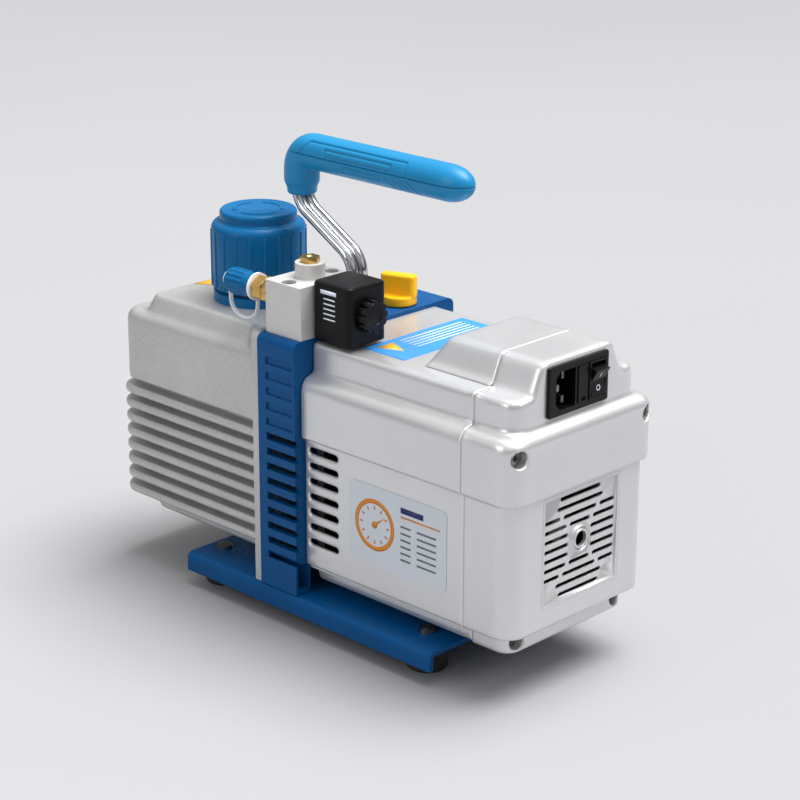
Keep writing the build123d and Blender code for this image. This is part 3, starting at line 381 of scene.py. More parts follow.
def rowTree():
    tree = newTree("rowOfCopies", {"Geometry": "Geometry", "Copies": "Int", "Step": "Vector",
                                   "Finish": "Material"})
    start, end = tree.nodes.new("NodeGroupInput"), tree.nodes.new("NodeGroupOutput")
    line = tree.nodes.new("GeometryNodeMeshLine")
    place = tree.nodes.new("GeometryNodeInstanceOnPoints")
    real = tree.nodes.new("GeometryNodeRealizeInstances")
    paint = tree.nodes.new("GeometryNodeSetMaterial")
    link = tree.links.new
    link(start.outputs["Copies"], line.inputs["Count"])
    link(start.outputs["Step"], line.inputs["Offset"])
    link(line.outputs["Mesh"], place.inputs["Points"])
    link(start.outputs["Geometry"], place.inputs["Instance"])
    link(place.outputs["Instances"], real.inputs["Geometry"])
    link(real.outputs["Geometry"], paint.inputs["Geometry"])
    link(start.outputs["Finish"], paint.inputs["Material"])
    link(paint.outputs["Geometry"], end.inputs["Geometry"])
    return tree


def ringTree():
    tree = newTree("ringOfCopies", {"Geometry": "Geometry", "Copies": "Int", "Turn": "Vector",
                                    "Place": "Vector", "Finish": "Material"})
    start, end = tree.nodes.new("NodeGroupInput"), tree.nodes.new("NodeGroupOutput")
    line = tree.nodes.new("GeometryNodeMeshLine")
    line.inputs["Offset"].default_value = (0, 0, 0)
    index = tree.nodes.new("GeometryNodeInputIndex")
    share = tree.nodes.new("ShaderNodeMath")
    share.operation = "DIVIDE"
    angle = tree.nodes.new("ShaderNodeMath")
    angle.operation = "MULTIPLY"
    angle.inputs[1].default_value = math.tau
    spin = tree.nodes.new("ShaderNodeCombineXYZ")
    place = tree.nodes.new("GeometryNodeInstanceOnPoints")
    real = tree.nodes.new("GeometryNodeRealizeInstances")
    move = tree.nodes.new("GeometryNodeTransform")
    paint = tree.nodes.new("GeometryNodeSetMaterial")
    link = tree.links.new
    link(start.outputs["Copies"], line.inputs["Count"])
    link(index.outputs[0], share.inputs[0])
    link(start.outputs["Copies"], share.inputs[1])
    link(share.outputs[0], angle.inputs[0])
    link(angle.outputs[0], spin.inputs["Z"])
    link(line.outputs["Mesh"], place.inputs["Points"])
    link(start.outputs["Geometry"], place.inputs["Instance"])
    link(spin.outputs["Vector"], place.inputs["Rotation"])
    link(place.outputs["Instances"], real.inputs["Geometry"])
    link(real.outputs["Geometry"], move.inputs["Geometry"])
    link(start.outputs["Turn"], move.inputs["Rotation"])
    link(start.outputs["Place"], move.inputs["Translation"])
    link(move.outputs["Geometry"], paint.inputs["Geometry"])
    link(start.outputs["Finish"], paint.inputs["Material"])
    link(paint.outputs["Geometry"], end.inputs["Geometry"])
    return tree


trees = {"row": rowTree(), "ring": ringTree()}


def repeat(piece, kind, **values):
    tree = trees[kind]
    modifier = piece.modifiers.new("repeat", "NODES")
    modifier.node_group = tree
    sockets = {item.name: item.identifier for item in tree.interface.items_tree
               if item.item_type == "SOCKET" and item.in_out == "INPUT"}
    for name, value in values.items():
        modifier[sockets[name]] = value
    return bake(piece)


# A flat plate from an outline; rim rounds its long edges, but not at openX, where it meets a wall
def prism(outline, low, high, rim=0.0, steps=3, openX=None, hole=None):
    shape = bmesh.new()
    floor = [shape.verts.new((x * mm, y * mm, low * mm)) for x, y in outline]
    if hole:
        inner = [shape.verts.new((x * mm, y * mm, low * mm)) for x, y in hole]
        faces = [shape.faces.new((floor[k - 1], floor[k], inner[k], inner[k - 1])) for k in range(len(floor))]
    else:
        faces = [shape.faces.new(floor)]
    lifted = bmesh.ops.extrude_face_region(shape, geom=faces)
    top = [item for item in lifted["geom"] if isinstance(item, bmesh.types.BMVert)]
    bmesh.ops.translate(shape, verts=top, vec=(0, 0, (high - low) * mm))
    bmesh.ops.recalc_face_normals(shape, faces=shape.faces)
    if rim:
        edges = []
        for edge in shape.edges:
            a, b = edge.verts
            flat = abs(a.co.z - b.co.z) < 1e-7
            atOpen = openX is not None and all(abs(end.co.x - openX * mm) < 1e-6 for end in edge.verts)
            if flat and not atOpen:
                edges.append(edge)
        bmesh.ops.bevel(shape, geom=edges, offset=rim * mm, segments=steps, profile=0.5, affect="EDGES",
                        clamp_overlap=True)
    return shape


def arc(cx, cy, radius, start, end, steps):
    return [(cx + radius * math.cos(math.radians(start + (end - start) * k / steps)),
             cy + radius * math.sin(math.radians(start + (end - start) * k / steps))) for k in range(steps + 1)]


# Rounded at x0, square at x1
def roundedPlan(x0, x1, half, radius, steps=8):
    return (arc(x0 + radius, -half + radius, radius, 180, 270, steps) + [(x1, -half), (x1, half)]
            + arc(x0 + radius, half - radius, radius, 90, 180, steps))


# A profile of radius and height pairs turned about Z, or laid along X
def lathe(name, profile, centre, axis="Z", steps=96):
    shape = bmesh.new()
    points = [shape.verts.new((r * mm, 0, z * mm)) for r, z in profile]
    edges = [shape.edges.new(pair) for pair in zip(points, points[1:])]
    bmesh.ops.spin(shape, geom=points + edges, cent=(0, 0, 0), axis=(0, 0, 1), angle=math.tau, steps=steps,
                   use_merge=True)
    bmesh.ops.remove_doubles(shape, verts=shape.verts, dist=1e-7)
    bmesh.ops.recalc_face_normals(shape, faces=shape.faces)
    if axis == "X":
        shape.transform(Matrix.Rotation(math.radians(90), 4, "Y"))
    shape.transform(Matrix.Translation(Vector(centre) * mm))
    return fromBmesh(name, shape)


# Motor shells: the CAD walls with moulded, rounded edges

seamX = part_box("end_cover")[0].x / mm
shells = {
    "endCoverShell": {"node": "end_cover", "cell": 0.95, "rounds": 3, "broadRounds": 26},
    "topCoverShell": {"node": "top_cover", "cell": 0.95, "rounds": 3, "broadRounds": 20},
    "hoodShell": {"node": "terminal_hood", "cell": 0.8, "rounds": 3, "broadRounds": 16},
    "lowerShell": {"node": "lower_shell", "cell": 0.9, "rounds": 2, "broadRounds": 0},
    "trayShell": {"node": "bottom_tray", "cell": 1.0, "rounds": 2, "broadRounds": 0},
}


# Where the broad rounding fades out: seam, below the shoulder, upper cover screws, power inlet, motor's start
fade = {"seam": (1.5, 5.0), "shoulder": (126, 132), "screw": (54.5, 150), "screwReach": (7.0, 10.0),
        "inletY": (-2, 24), "inletZ": (180, 14), "inletFrom": 157, "inletReach": (0.5, 3.0),
        "start": (5.0, 9.0), "seamHold": 0.1, "seamReach": (1.0, 3.0)}


def softAboveShoulder(points):
    x, y, z = points.T
    (inletY, halfWide), (inletZ, halfHigh) = fade["inletY"], fade["inletZ"]
    weight = ramp(np.abs(x - seamX), *fade["seam"]) * ramp(z, *fade["shoulder"])
    weight *= ramp(np.hypot(np.abs(y) - fade["screw"][0], z - fade["screw"][1]), *fade["screwReach"])
    inletGap = np.maximum(np.abs(y - inletY) - halfWide, np.abs(z - inletZ) - halfHigh)
    weight *= np.where(x > fade["inletFrom"], ramp(inletGap, *fade["inletReach"]), 1.0)
    weight *= ramp(x, *fade["start"])
    return weight


def crispAtSeam(points):
    return fade["seamHold"] + (1 - fade["seamHold"]) * ramp(np.abs(points[:, 0] - seamX), *fade["seamReach"])


grille = {"x": (158, 172), "y": (-33, 33), "z": (53.6, 120.4)}  # this part of the end cover stays crisp


def boxPiece(spans):
    shape = bmesh.new()
    middle = Vector([sum(spans[axis]) / 2 for axis in "xyz"]) * mm
    size = Vector([spans[axis][1] - spans[axis][0] for axis in "xyz"]) * mm
    bmesh.ops.create_cube(shape, size=1, matrix=Matrix.Translation(middle) @ Matrix.Diagonal((*size, 1)))
    return fromBmesh("cutter", shape)


def mergedCopy(node, name):
    shape = bmesh.new()
    shape.from_mesh(nodes[node].data)
    bmesh.ops.remove_doubles(shape, verts=shape.verts, dist=2e-6)
    return fromBmesh(name, shape)


def cutWith(piece, cutter, operation):
    cut = piece.modifiers.new("cut", "BOOLEAN")
    cut.object = cutter
    cut.operation = operation
    cut.solver = "EXACT"
    return bake(piece)


grilleBox = boxPiece(grille)
grillePanel = cutWith(mergedCopy("end_cover", "grillePanel"), grilleBox, "INTERSECT")
settle(grillePanel, "satinSilver", angle=32)

for name, shell in shells.items():
    broad = softAboveShoulder if shell["broadRounds"] else None
    piece = softCopy(shell["node"], name, shell["cell"], shell["rounds"], broad, shell["broadRounds"],
                     firm=crispAtSeam)
    if shell["node"] == "end_cover":
        cutWith(piece, grilleBox, "DIFFERENCE")
    settle(piece, "satinSilver", replaced=(shell["node"],))
bpy.data.objects.remove(grilleBox)
print("motor shells made")


# Round outside pieces: the CAD shape, merged and smooth-shaded

movingBody = {"flare_cap": "flare_cap"}
smooth = {"pieces": ("handle_rod", "port_plug", "inlet_fitting", "exhaust_ring", "rubber_feet", "flare_cap",
                     "sight_ring"), "angle": 32}


def smoothCopy(node):
    words = node.split("_")
    piece = mergedCopy(node, words[0] + "".join(word.capitalize() for word in words[1:]) + "Piece")
    shade(piece, smooth["angle"])
    even = piece.modifiers.new("even", "WEIGHTED_NORMAL")
    even.keep_sharp = True
    bake(piece)
    settle(piece, slotFinish[nodeSlot[node]], movingBody.get(node, "housing"), (node,), None)


for node in smooth["pieces"]:
    smoothCopy(node)

coil = {"cell": 0.5, "rounds": 3}
knob = {"cell": 0.45, "rounds": 4}
settle(softCopy("solenoid_coil", "coilBody", coil["cell"], coil["rounds"]), "blackMoulded",
       replaced=("solenoid_coil",))
settle(softCopy("gas_ballast_knob", "knobBody", knob["cell"], knob["rounds"]), "yellowMoulded",
       "ballast_knob", ("gas_ballast_knob",))
print("fittings, coil and knob made")


# Oil tank: cast top, finned lower body, sight panel

tankLow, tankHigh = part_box("oil_tank")
capLow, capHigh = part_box("exhaust_cap")
capX, capY = (capLow.x + capHigh.x) / 2 / mm, (capLow.y + capHigh.y) / 2 / mm
tank = {"left": tankLow.x / mm, "right": tankHigh.x / mm, "half": 61.2, "finTop": 113.3, "pitch": 9.65,
        "fins": 8, "thick": 5.6, "corner": 14.0, "coreHalf": 52.0, "coreLeft": -160.0, "split": 118.0,
        "sumpHalf": 54.0, "sumpLeft": -146.0, "sumpLow": 35.0, "glassZ": 84.0, "glassRadius": 13.0,
        "glassDepth": 4.4, "coreLow": 41, "coreCorner": 8, "sumpHigh": 47, "sumpCorner": 10, "sumpRim": 3.5,
        "finInset": 0.3, "finRim": 2.3, "panel": (12, 48, 80), "panelZ": 83, "panelRim": 0.8,
        "topCell": 1.1, "topRounds": 2, "broadRounds": 9, "fadeZ": (126, 134), "fadeEnd": (2.0, 8.0),
        "fadeCap": (30, 33)}


def softTank(points):
    x, y, z = points.T
    weight = ramp(z, *tank["fadeZ"]) * ramp(tank["right"] - x, *tank["fadeEnd"])
    weight *= ramp(np.hypot(x - capX, y - capY), *tank["fadeCap"])
    return weight


tankTop = softCopy("oil_tank", "tankTop", tank["topCell"], tank["topRounds"], softTank, tank["broadRounds"],
                   ((0, 0, tank["split"] * mm), (0, 0, 1)))
settle(tankTop, "castSilver", replaced=("oil_tank",))

core = prism(roundedPlan(tank["coreLeft"], tank["right"], tank["coreHalf"], tank["coreCorner"]),
             tank["coreLow"], tank["split"] + 0.5)
settle(fromBmesh("tankCore", core), "castSilver", angle=40)
sump = prism(roundedPlan(tank["sumpLeft"], tank["right"], tank["sumpHalf"], tank["sumpCorner"]),
             tank["sumpLow"], tank["sumpHigh"], tank["sumpRim"], 4, tank["right"])
settle(fromBmesh("tankSump", sump), "castSilver", angle=40)

fin = prism(roundedPlan(tank["left"] + tank["finInset"], tank["right"], tank["half"], tank["corner"], 12),
            tank["finTop"] - tank["thick"] / 2, tank["finTop"] + tank["thick"] / 2, tank["finRim"], 4,
            tank["right"])
fins = repeat(fromBmesh("tankFins", fin), "row", Copies=tank["fins"], Step=(0, 0, -tank["pitch"] * mm),
              Finish=materials["castSilver"])
settle(fins, "castSilver", angle=40)

deep, wide, tall = tank["panel"]
panel = bmesh.new()
bmesh.ops.create_cube(panel, size=1,
                      matrix=Matrix.Translation(((tank["left"] + deep / 2) * mm, 0, tank["panelZ"] * mm))
                      @ Matrix.Diagonal((deep * mm, wide * mm, tall * mm, 1)))
panelPiece = fromBmesh("sightPanel", panel)
bore = bmesh.new()
bmesh.ops.create_cone(bore, cap_ends=True, segments=64, radius1=tank["glassRadius"] * mm,
                      radius2=tank["glassRadius"] * mm, depth=2 * tank["glassDepth"] * mm,
                      matrix=Matrix.Translation((tank["left"] * mm, 0, tank["glassZ"] * mm))
                      @ Matrix.Rotation(math.radians(90), 4, "Y"))
borePiece = fromBmesh("sightBore", bore)
cutWith(panelPiece, borePiece, "DIFFERENCE")
edge = panelPiece.modifiers.new("edge", "BEVEL")
edge.width = tank["panelRim"] * mm
edge.segments = 3
edge.angle_limit = math.radians(60)
edge.limit_method = "ANGLE"
bake(panelPiece)
bpy.data.objects.remove(borePiece)
settle(panelPiece, "castSilver", angle=35)
print("oil tank made")


# Exhaust cap

cap = {"low": capLow.z / mm, "high": capHigh.z / mm, "radius": (capHigh.x - capLow.x) / 2 / mm, "disc": 24.2,
       "shoulder": capHigh.z / mm - 7.3, "beads": 20, "bead": 1.0, "beadTurn": 0.02, "sunk": 0.45,
       "arrow": {"radius": 14.5, "width": 0.9, "sweep": 80, "copies": 3, "turn": 0.6, "high": 0.7, "rim": 0.15}}


skirt = cap["radius"] - 0.7
# Bore and foot, rounded shoulder, groove under the disc, disc with its sunk middle
profile = [(24.2, cap["low"] + 6), (24.2, cap["low"]), (skirt - 0.8, cap["low"]), (skirt, cap["low"] + 0.8)]
profile += arc(skirt - 5.2, cap["shoulder"] - 5.0, 5.2, 0, 84, 8)
profile += arc(cap["disc"] + 0.9, cap["shoulder"] + 1.6, 1.3, 250, 180, 5)
profile += arc(cap["disc"] - 2.6, cap["high"] - 2.6, 2.6, 0, 90, 7)
profile += [(21.2, cap["high"]), (20.6, cap["high"] - cap["sunk"]), (0, cap["high"] - cap["sunk"])]
capBody = lathe("capBody", profile, (capX, capY, 0), steps=120)
settle(capBody, "blueMoulded", "exhaust_cap", ("exhaust_cap",), angle=55)
bead = bmesh.new()
bmesh.ops.create_uvsphere(bead, u_segments=14, v_segments=12, radius=cap["bead"] * mm)
# A ball stretched into an upright bead on the skirt
beadHigh, beadLow = cap["shoulder"] - 5.4, cap["low"] + 0.6
for point in bead.verts:
    point.co.z += (beadHigh if point.co.z > 0 else beadLow + cap["bead"]) * mm
    point.co.x += (skirt - 0.35) * mm
beads = repeat(fromBmesh("capBeads", bead), "ring", Copies=cap["beads"], Turn=(0, 0, cap["beadTurn"]),
               Place=(capX * mm, capY * mm, 0), Finish=materials["blueMoulded"])
settle(beads, "blueMoulded", "exhaust_cap", angle=60)


def arrowOutline(radius, width, start, end, steps=14):
    outer = [(radius + width, start + (end - start) * k / steps) for k in range(steps + 1)]
    inner = [(radius - width, end - (end - start) * k / steps) for k in range(steps + 1)]
    head = [(radius + 2.2 * width, end), (radius, end + 13), (radius - 2.2 * width, end)]
    loop = outer + head + inner
    return [(r * math.cos(math.radians(a)), r * math.sin(math.radians(a))) for r, a in loop]


sign = cap["arrow"]
arrow = prism(arrowOutline(sign["radius"], sign["width"], 0, sign["sweep"]), cap["high"] - sign["high"],
              cap["high"], sign["rim"], 2)
arrows = repeat(fromBmesh("capArrows", arrow), "ring", Copies=sign["copies"], Turn=(0, 0, sign["turn"]),
                Place=(capX * mm, capY * mm, 0), Finish=materials["blueMoulded"])
settle(arrows, "blueMoulded", "exhaust_cap", angle=40)
print("exhaust cap made")


# Grip: two moulded halves with pressed lines

grip = {"z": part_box("grip_upper")[0].z / mm, "radius": 11.0, "cell": 0.55, "rounds": 5, "line": 0.6,
        "depth": 0.85, "outer": (-43.5, 36.6, 9.2), "inner": (-29.6, 25.0, 1.8, 5.6),
        "lower": (-14.0, 16.0, -5.6, -2.8), "skin": 9.5, "nose": -52, "lead": 7, "foot": 0.4, "bows": 4,
        "bowStart": 27, "bowPitch": 6.0}


# Distance of each point from the nearest line, on the grip's side unrolled flat
def strokes(along, around, lines):
    best = np.full(len(along), 1e9)
    for (ax, ay), (bx, by) in lines:
        dx, dy = bx - ax, by - ay
        span = dx * dx + dy * dy
        t = np.clip(((along - ax) * dx + (around - ay) * dy) / span, 0, 1)
        best = np.minimum(best, np.hypot(along - ax - t * dx, around - ay - t * dy))
    return best


def rectangle(x0, x1, y0, y1):
    return [((x0, y0), (x1, y0)), ((x1, y0), (x1, y1)), ((x1, y1), (x0, y1)), ((x0, y1), (x0, y0))]


def pressLines(piece, lines):
    points = readPoints(piece.data) / mm
    rise, side = points[:, 2] - grip["z"], np.abs(points[:, 1])
    reach = np.hypot(rise, side)
    around = np.degrees(np.arctan2(rise, side)) * math.pi / 180 * grip["radius"]
    near = strokes(points[:, 0], around, lines)
    drop = grip["depth"] * np.exp(-(near / grip["line"]) ** 2) * (reach > grip["skin"])
    drop *= points[:, 0] > grip["nose"]
    points[:, 1] -= np.sign(points[:, 1]) * side / np.maximum(reach, 1e-6) * drop
    points[:, 2] -= rise / np.maximum(reach, 1e-6) * drop
    writePoints(piece.data, points * mm)


outerX0, outerX1, outerTop = grip["outer"]
foot = grip["foot"]
upperLines = [((outerX0 - grip["lead"], foot), (outerX0, outerTop)), ((outerX0, outerTop), (outerX1, outerTop)),
              ((outerX1, outerTop), (outerX1, foot))] + rectangle(*grip["inner"])
lowerLines = rectangle(*grip["lower"])
for k in range(grip["bows"]):
    bow = grip["bowStart"] + grip["bowPitch"] * k
    lowerLines += [((bow - 5, -2.6), (bow, -7)), ((bow, -7), (bow + 1, -12))]
for node, name, lines in (("grip_upper", "gripUpper", upperLines), ("grip_lower", "gripLower", lowerLines)):
    piece = softCopy(node, name, grip["cell"], grip["rounds"])
    pressLines(piece, lines)
    settle(piece, "blueGrip", replaced=(node,))
print("grip made")


# Labels: plain generic prints

def flatPrint(name, outline, plane, offset, thick=0.06, hole=None):
    shape = prism(outline, 0, thick, hole=hole)
    if plane == "side":
        shape.transform(Matrix.Rotation(math.radians(90), 4, "X"))
        shape.transform(Matrix.Translation((0, offset * mm, 0)))
    else:
        shape.transform(Matrix.Translation((0, 0, offset * mm)))
    return fromBmesh(name, shape)


def rect(x0, x1, y0, y1):
    return [(x0, y0), (x1, y0), (x1, y1), (x0, y1)]


def disc(cx, cy, radius, steps=48):
    return [(cx + radius * math.cos(math.tau * k / steps), cy + radius * math.sin(math.tau * k / steps))
            for k in range(steps)]


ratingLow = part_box("rating_label")[0]
rating = {"face": ratingLow.y / mm - 0.02, "left": ratingLow.x / mm, "low": ratingLow.z / mm,
          "heading": (42, 60, 39.5, 43), "stripe": (42, 73, 36.6, 37.6), "rowHeight": (30.5, 31.7), "rows": 6,
          "pitch": 4.1, "columns": {"ratingRowsShort": (42, 50), "ratingRowsLong": (55, 70)}}
face, left, low = rating["face"], rating["left"], rating["low"]
dial = {"x": left + 21, "z": low + 26, "outer": 16.0, "inner": 13.2, "ticks": 12, "tick": (9.6, 11.8, 0.55),
        "needle": (2.2, 10.6, 38)}
settle(flatPrint("dialRing", disc(dial["x"], dial["z"], dial["outer"]), "side", face,
                 hole=disc(dial["x"], dial["z"], dial["inner"])), "orangeInk")
tickIn, tickOut, tickHalf = dial["tick"]
ticks = fromBmesh("dialTicks", prism(rect(tickIn, tickOut, -tickHalf, tickHalf), 0, 0.06))
ticks = repeat(ticks, "ring", Copies=dial["ticks"], Turn=(math.pi / 2, 0, 0),
               Place=(dial["x"] * mm, face * mm, dial["z"] * mm), Finish=materials["orangeInk"])
settle(ticks, "orangeInk")
hub, reach, lean = dial["needle"]
tip = (dial["x"] + reach * math.cos(math.radians(lean)), dial["z"] + reach * math.sin(math.radians(lean)))
side = (-hub * 0.5 * math.sin(math.radians(lean)), hub * 0.5 * math.cos(math.radians(lean)))
needle = [(dial["x"] - side[0], dial["z"] - side[1]), tip, (dial["x"] + side[0], dial["z"] + side[1])]
settle(flatPrint("dialNeedle", needle, "side", face), "orangeInk")
settle(flatPrint("dialHub", disc(dial["x"], dial["z"], hub), "side", face - 0.02), "orangeInk")
for name, key, ink in (("ratingHeading", "heading", "navyInk"), ("ratingStripe", "stripe", "orangeInk")):
    x0, x1, z0, z1 = rating[key]
    settle(flatPrint(name, rect(left + x0, left + x1, low + z0, low + z1), "side", face), ink)
z0, z1 = rating["rowHeight"]
for name, (x0, x1) in rating["columns"].items():
    row = flatPrint(name, rect(left + x0, left + x1, low + z0, low + z1), "side", face)
    row = repeat(row, "row", Copies=rating["rows"], Step=(0, 0, -rating["pitch"] * mm),
                 Finish=materials["greyInk"])
    settle(row, "greyInk")

topLow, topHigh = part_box("top_label")
topPrint = {"triangle": ((5, 5), (21, 12), (5, 19)), "line": (5, 6.2), "from": 24, "short": 7, "lines": 5,
            "pitch": 3.6}
sticker = {"outline": [(-143, -17), (-123.8, -4), (-142.5, 8)], "sink": 0.3, "thick": 0.15}
sheetTop = topHigh.z / mm + 0.01
x0, y0, y1 = topLow.x / mm, topLow.y / mm, topHigh.y / mm
triangle = [(x0 + x, y0 + y) for x, y in topPrint["triangle"]]
settle(flatPrint("topTriangle", triangle, "top", sheetTop), "amberInk")
begin, end = topPrint["line"]
line = flatPrint("topLines", rect(x0 + begin, x0 + end, y0 + topPrint["from"], y1 - topPrint["short"]), "top",
                 sheetTop)
line = repeat(line, "row", Copies=topPrint["lines"], Step=(topPrint["pitch"] * mm, 0, 0),
              Finish=materials["paleInk"])
settle(line, "paleInk")
settle(flatPrint("tankSticker", sticker["outline"], "top", tankHigh.z / mm - sticker["sink"], sticker["thick"]),
       "amberInk")
print("labels made")


# Screws

# Rings of radius and height: washer face if any, head, then a hexagon socket inside
def screwHead(radius, height, socket, flange, sides=24):
    shape = bmesh.new()
    rings = []
    levels = [(radius, 0), (radius, height * 0.55), (radius * 0.86, height * 0.9), (radius * 0.7, height)]
    if flange:
        levels = [(flange, 0), (flange, 0.5), (radius, 0.55)] + levels[1:]
    levels += [(socket, height), (socket * 0.95, height * 0.4), (0.02, height * 0.38)]
    for index, (reach, z) in enumerate(levels):
        inner = index >= len(levels) - 3
        ring = []
        for k in range(sides):
            angle = math.tau * k / sides
            wide = reach
            if inner and reach > 0.1:
                wide = reach / math.cos((angle + math.pi / 6) % (math.pi / 3) - math.pi / 6)
            ring.append(shape.verts.new((wide * math.cos(angle) * mm, wide * math.sin(angle) * mm, z * mm)))
        rings.append(ring)
    shape.faces.new(list(reversed(rings[0])))
    for first, second in zip(rings, rings[1:]):
        for k in range(sides):
            shape.faces.new((first[k], first[(k + 1) % sides], second[(k + 1) % sides], second[k]))
    shape.faces.new(rings[-1])
    return shape


def placeScrews(name, screw):
    shape = screwHead(screw["radius"], screw["height"], screw["socket"], screw.get("flange", 0.0))
    if screw["faces"] == "X":
        shape.transform(Matrix.Rotation(math.pi / 2, 4, "Y"))
    shape.transform(Matrix.Translation(Vector(screw["place"]) * mm))
    piece = fromBmesh(name, shape)
    for step in screw["steps"]:
        repeat(piece, "row", Copies=2, Step=tuple(v * mm for v in step), Finish=materials["boltSteel"])
    settle(piece, "boltSteel", angle=40)


footLow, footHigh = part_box("foot_screws")
footInset = 4.6
footX0, footX1 = footLow.x / mm + footInset, footHigh.x / mm - footInset
footY = footHigh.y / mm - footInset
screws = {
    "footScrewHeads": {"radius": 3.9, "height": 2.6, "socket": 1.6, "flange": 5.2, "faces": "Z",
                       "place": (footX0, -footY, 22.05), "steps": [(footX1 - footX0, 0, 0), (0, 2 * footY, 0)]},
    "blockScrewHeads": {"radius": 4.1, "height": 3.6, "socket": 2.1, "faces": "Z",
                        "place": (-11, -57, 208.1), "steps": [(0, 34.5, 0)]},
    "coverScrewsUpper": {"radius": 4.0, "height": 3.2, "socket": 1.7, "faces": "X",
                         "place": (161.5, -54.5, 150), "steps": [(0, 109, 0)]},
    "coverScrewsLower": {"radius": 4.0, "height": 3.2, "socket": 1.7, "faces": "X",
                         "place": (151.4, -43, 35.4), "steps": [(0, 86, 0)]},
}
for name, screw in screws.items():
    placeScrews(name, screw)
print("screws made")


# Coil nut

nutLow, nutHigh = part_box("coil_nut")
nut = {"low": nutLow.x / mm, "high": nutHigh.x / mm, "y": -38.0, "z": 200.0, "lobes": 12,
       "lobe": [(7.6, -1.75), (9.6, -1.75), (10.15, -1.1), (10.15, 1.1), (9.6, 1.75), (7.6, 1.75)], "rim": 0.35}
nutProfile = [(0, nut["low"] + 0.1), (8.6, nut["low"] + 0.1), (8.8, nut["high"] - 0.9),
              (8.2, nut["high"] - 0.2), (5.0, nut["high"]), (4.6, nut["high"] - 0.6), (0, nut["high"] - 0.6)]
settle(lathe("nutHub", nutProfile, (0, nut["y"], nut["z"]), "X", 48), "blackSmooth",
       replaced=("coil_nut",), angle=40)
lobe = prism(nut["lobe"], nut["low"] + 0.3, nut["high"] - 0.35, nut["rim"], 2)
lobes = repeat(fromBmesh("nutLobes", lobe), "ring", Copies=nut["lobes"], Turn=(0, math.pi / 2, 0),
               Place=(0, nut["y"] * mm, nut["z"] * mm), Finish=materials["blackSmooth"])
settle(lobes, "blackSmooth", angle=40)
print("nut made")


# White strap: a washer on the fitting, a neck ring on the flare cap and a loop between; brass collar beside it

strap = {"right": -42.6, "left": -66.9, "y": -53.0, "z": 204.0, "low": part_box("cap_strap")[0].z / mm + 0.9,
         "wide": 1.5, "thick": 0.8, "washer": 8.5, "hole": 6.1, "neck": 5.4, "neckHole": 3.1, "half": 0.75,
         "bulge": 0.10, "full": 0.62}  # half thickness of the rings; how far the loop swells and how full it is


def ringAlongX(name, x, half, outer, inner):
    loop = [(inner, x - half), (outer, x - half), (outer, x + half), (inner, x + half), (inner, x - half)]
    return lathe(name, loop, (0, strap["y"], strap["z"]), "X", 56)


settle(ringAlongX("strapWasher", strap["right"], strap["half"], strap["washer"], strap["hole"]), "whiteStrap",
       replaced=("cap_strap",), angle=40)
settle(ringAlongX("strapNeck", strap["left"], strap["half"], strap["neck"], strap["neckHole"]), "whiteStrap",
       "flare_cap", angle=40)

collarLoop = [(3.0, -41.7), (6.9, -41.7), (7.7, -40.9), (7.7, -33.9), (6.9, -33.1), (3.0, -33.1), (3.0, -41.7)]
settle(lathe("fittingCollar", collarLoop, (0, strap["y"], strap["z"]), "X", 6), "turnedBrass",
       angle=20)


def strapPath(steps=40):
    middle, half = (strap["left"] + strap["right"]) / 2, (strap["right"] - strap["left"]) / 2
    top = strap["z"] - strap["neck"] + 0.6
    drop = top - strap["low"]
    path = []
    for k in range(steps + 1):
        turn = math.pi * k / steps
        bulge = 1 + strap["bulge"] * math.sin(turn) ** 2 * (1 - math.sin(turn)) * 4
        path.append((middle - half * bulge * math.cos(turn), top - drop * math.sin(turn) ** strap["full"]))
    return path


def ribbon(name, path, wide, thick, sides=10):
    shape = bmesh.new()
    rings = []
    for k, (x, z) in enumerate(path):
        ahead, behind = path[min(k + 1, len(path) - 1)], path[max(k - 1, 0)]
        run = Vector((ahead[0] - behind[0], 0, ahead[1] - behind[1])).normalized()
        out = Vector((run.z, 0, -run.x))
        ring = []
        for turn in range(sides):
            angle = math.tau * turn / sides
            aside = Vector((0, wide * math.sin(angle), 0))
            spot = Vector((x, strap["y"], z)) + out * thick * math.cos(angle) + aside
            ring.append(shape.verts.new(spot * mm))
        rings.append(ring)
    for first, second in zip(rings, rings[1:]):
        for turn in range(sides):
            shape.faces.new((first[turn - 1], first[turn], second[turn], second[turn - 1]))
    shape.faces.new(rings[0])
    shape.faces.new(list(reversed(rings[-1])))
    bmesh.ops.recalc_face_normals(shape, faces=shape.faces)
    return fromBmesh(name, shape)


loop = ribbon("strapLoop", strapPath(), strap["wide"], strap["thick"])
loop.data.materials.append(materials["whiteStrap"])
shade(loop, 50)
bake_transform(loop)
print("strap made")


# Prints on the coil and marks on the rocker

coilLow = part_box("solenoid_coil")[0]
coilPrint = {"left": coilLow.x / mm + 7.5, "high": 211.5, "face": coilLow.y / mm - 0.01, "heading": (13, 2.4),
             "row": (2.5, 12, 3.2, 2.3), "rows": 5, "pitch": 3.0}
left, high = coilPrint["left"], coilPrint["high"]
wide, tall = coilPrint["heading"]
settle(flatPrint("coilHeading", rect(left, left + wide, high, high + tall), "side", coilPrint["face"]),
       "paleInk")
x0, x1, z0, z1 = coilPrint["row"]
bar = flatPrint("coilRows", rect(left + x0, left + x1, high - z0, high - z1), "side", coilPrint["face"])
bar = repeat(bar, "row", Copies=coilPrint["rows"], Step=(0, 0, -coilPrint["pitch"] * mm),
             Finish=materials["paleInk"])
settle(bar, "paleInk")

rocker = {"pivot": (160.0, 13.5, 180.0), "tilt": 12.0, "middle": 5.4, "end": 8.0, "half": 8.0, "lift": 0.03,
          "mark": 1.7, "line": 0.28, "hole": 1.15, "thick": 0.06}


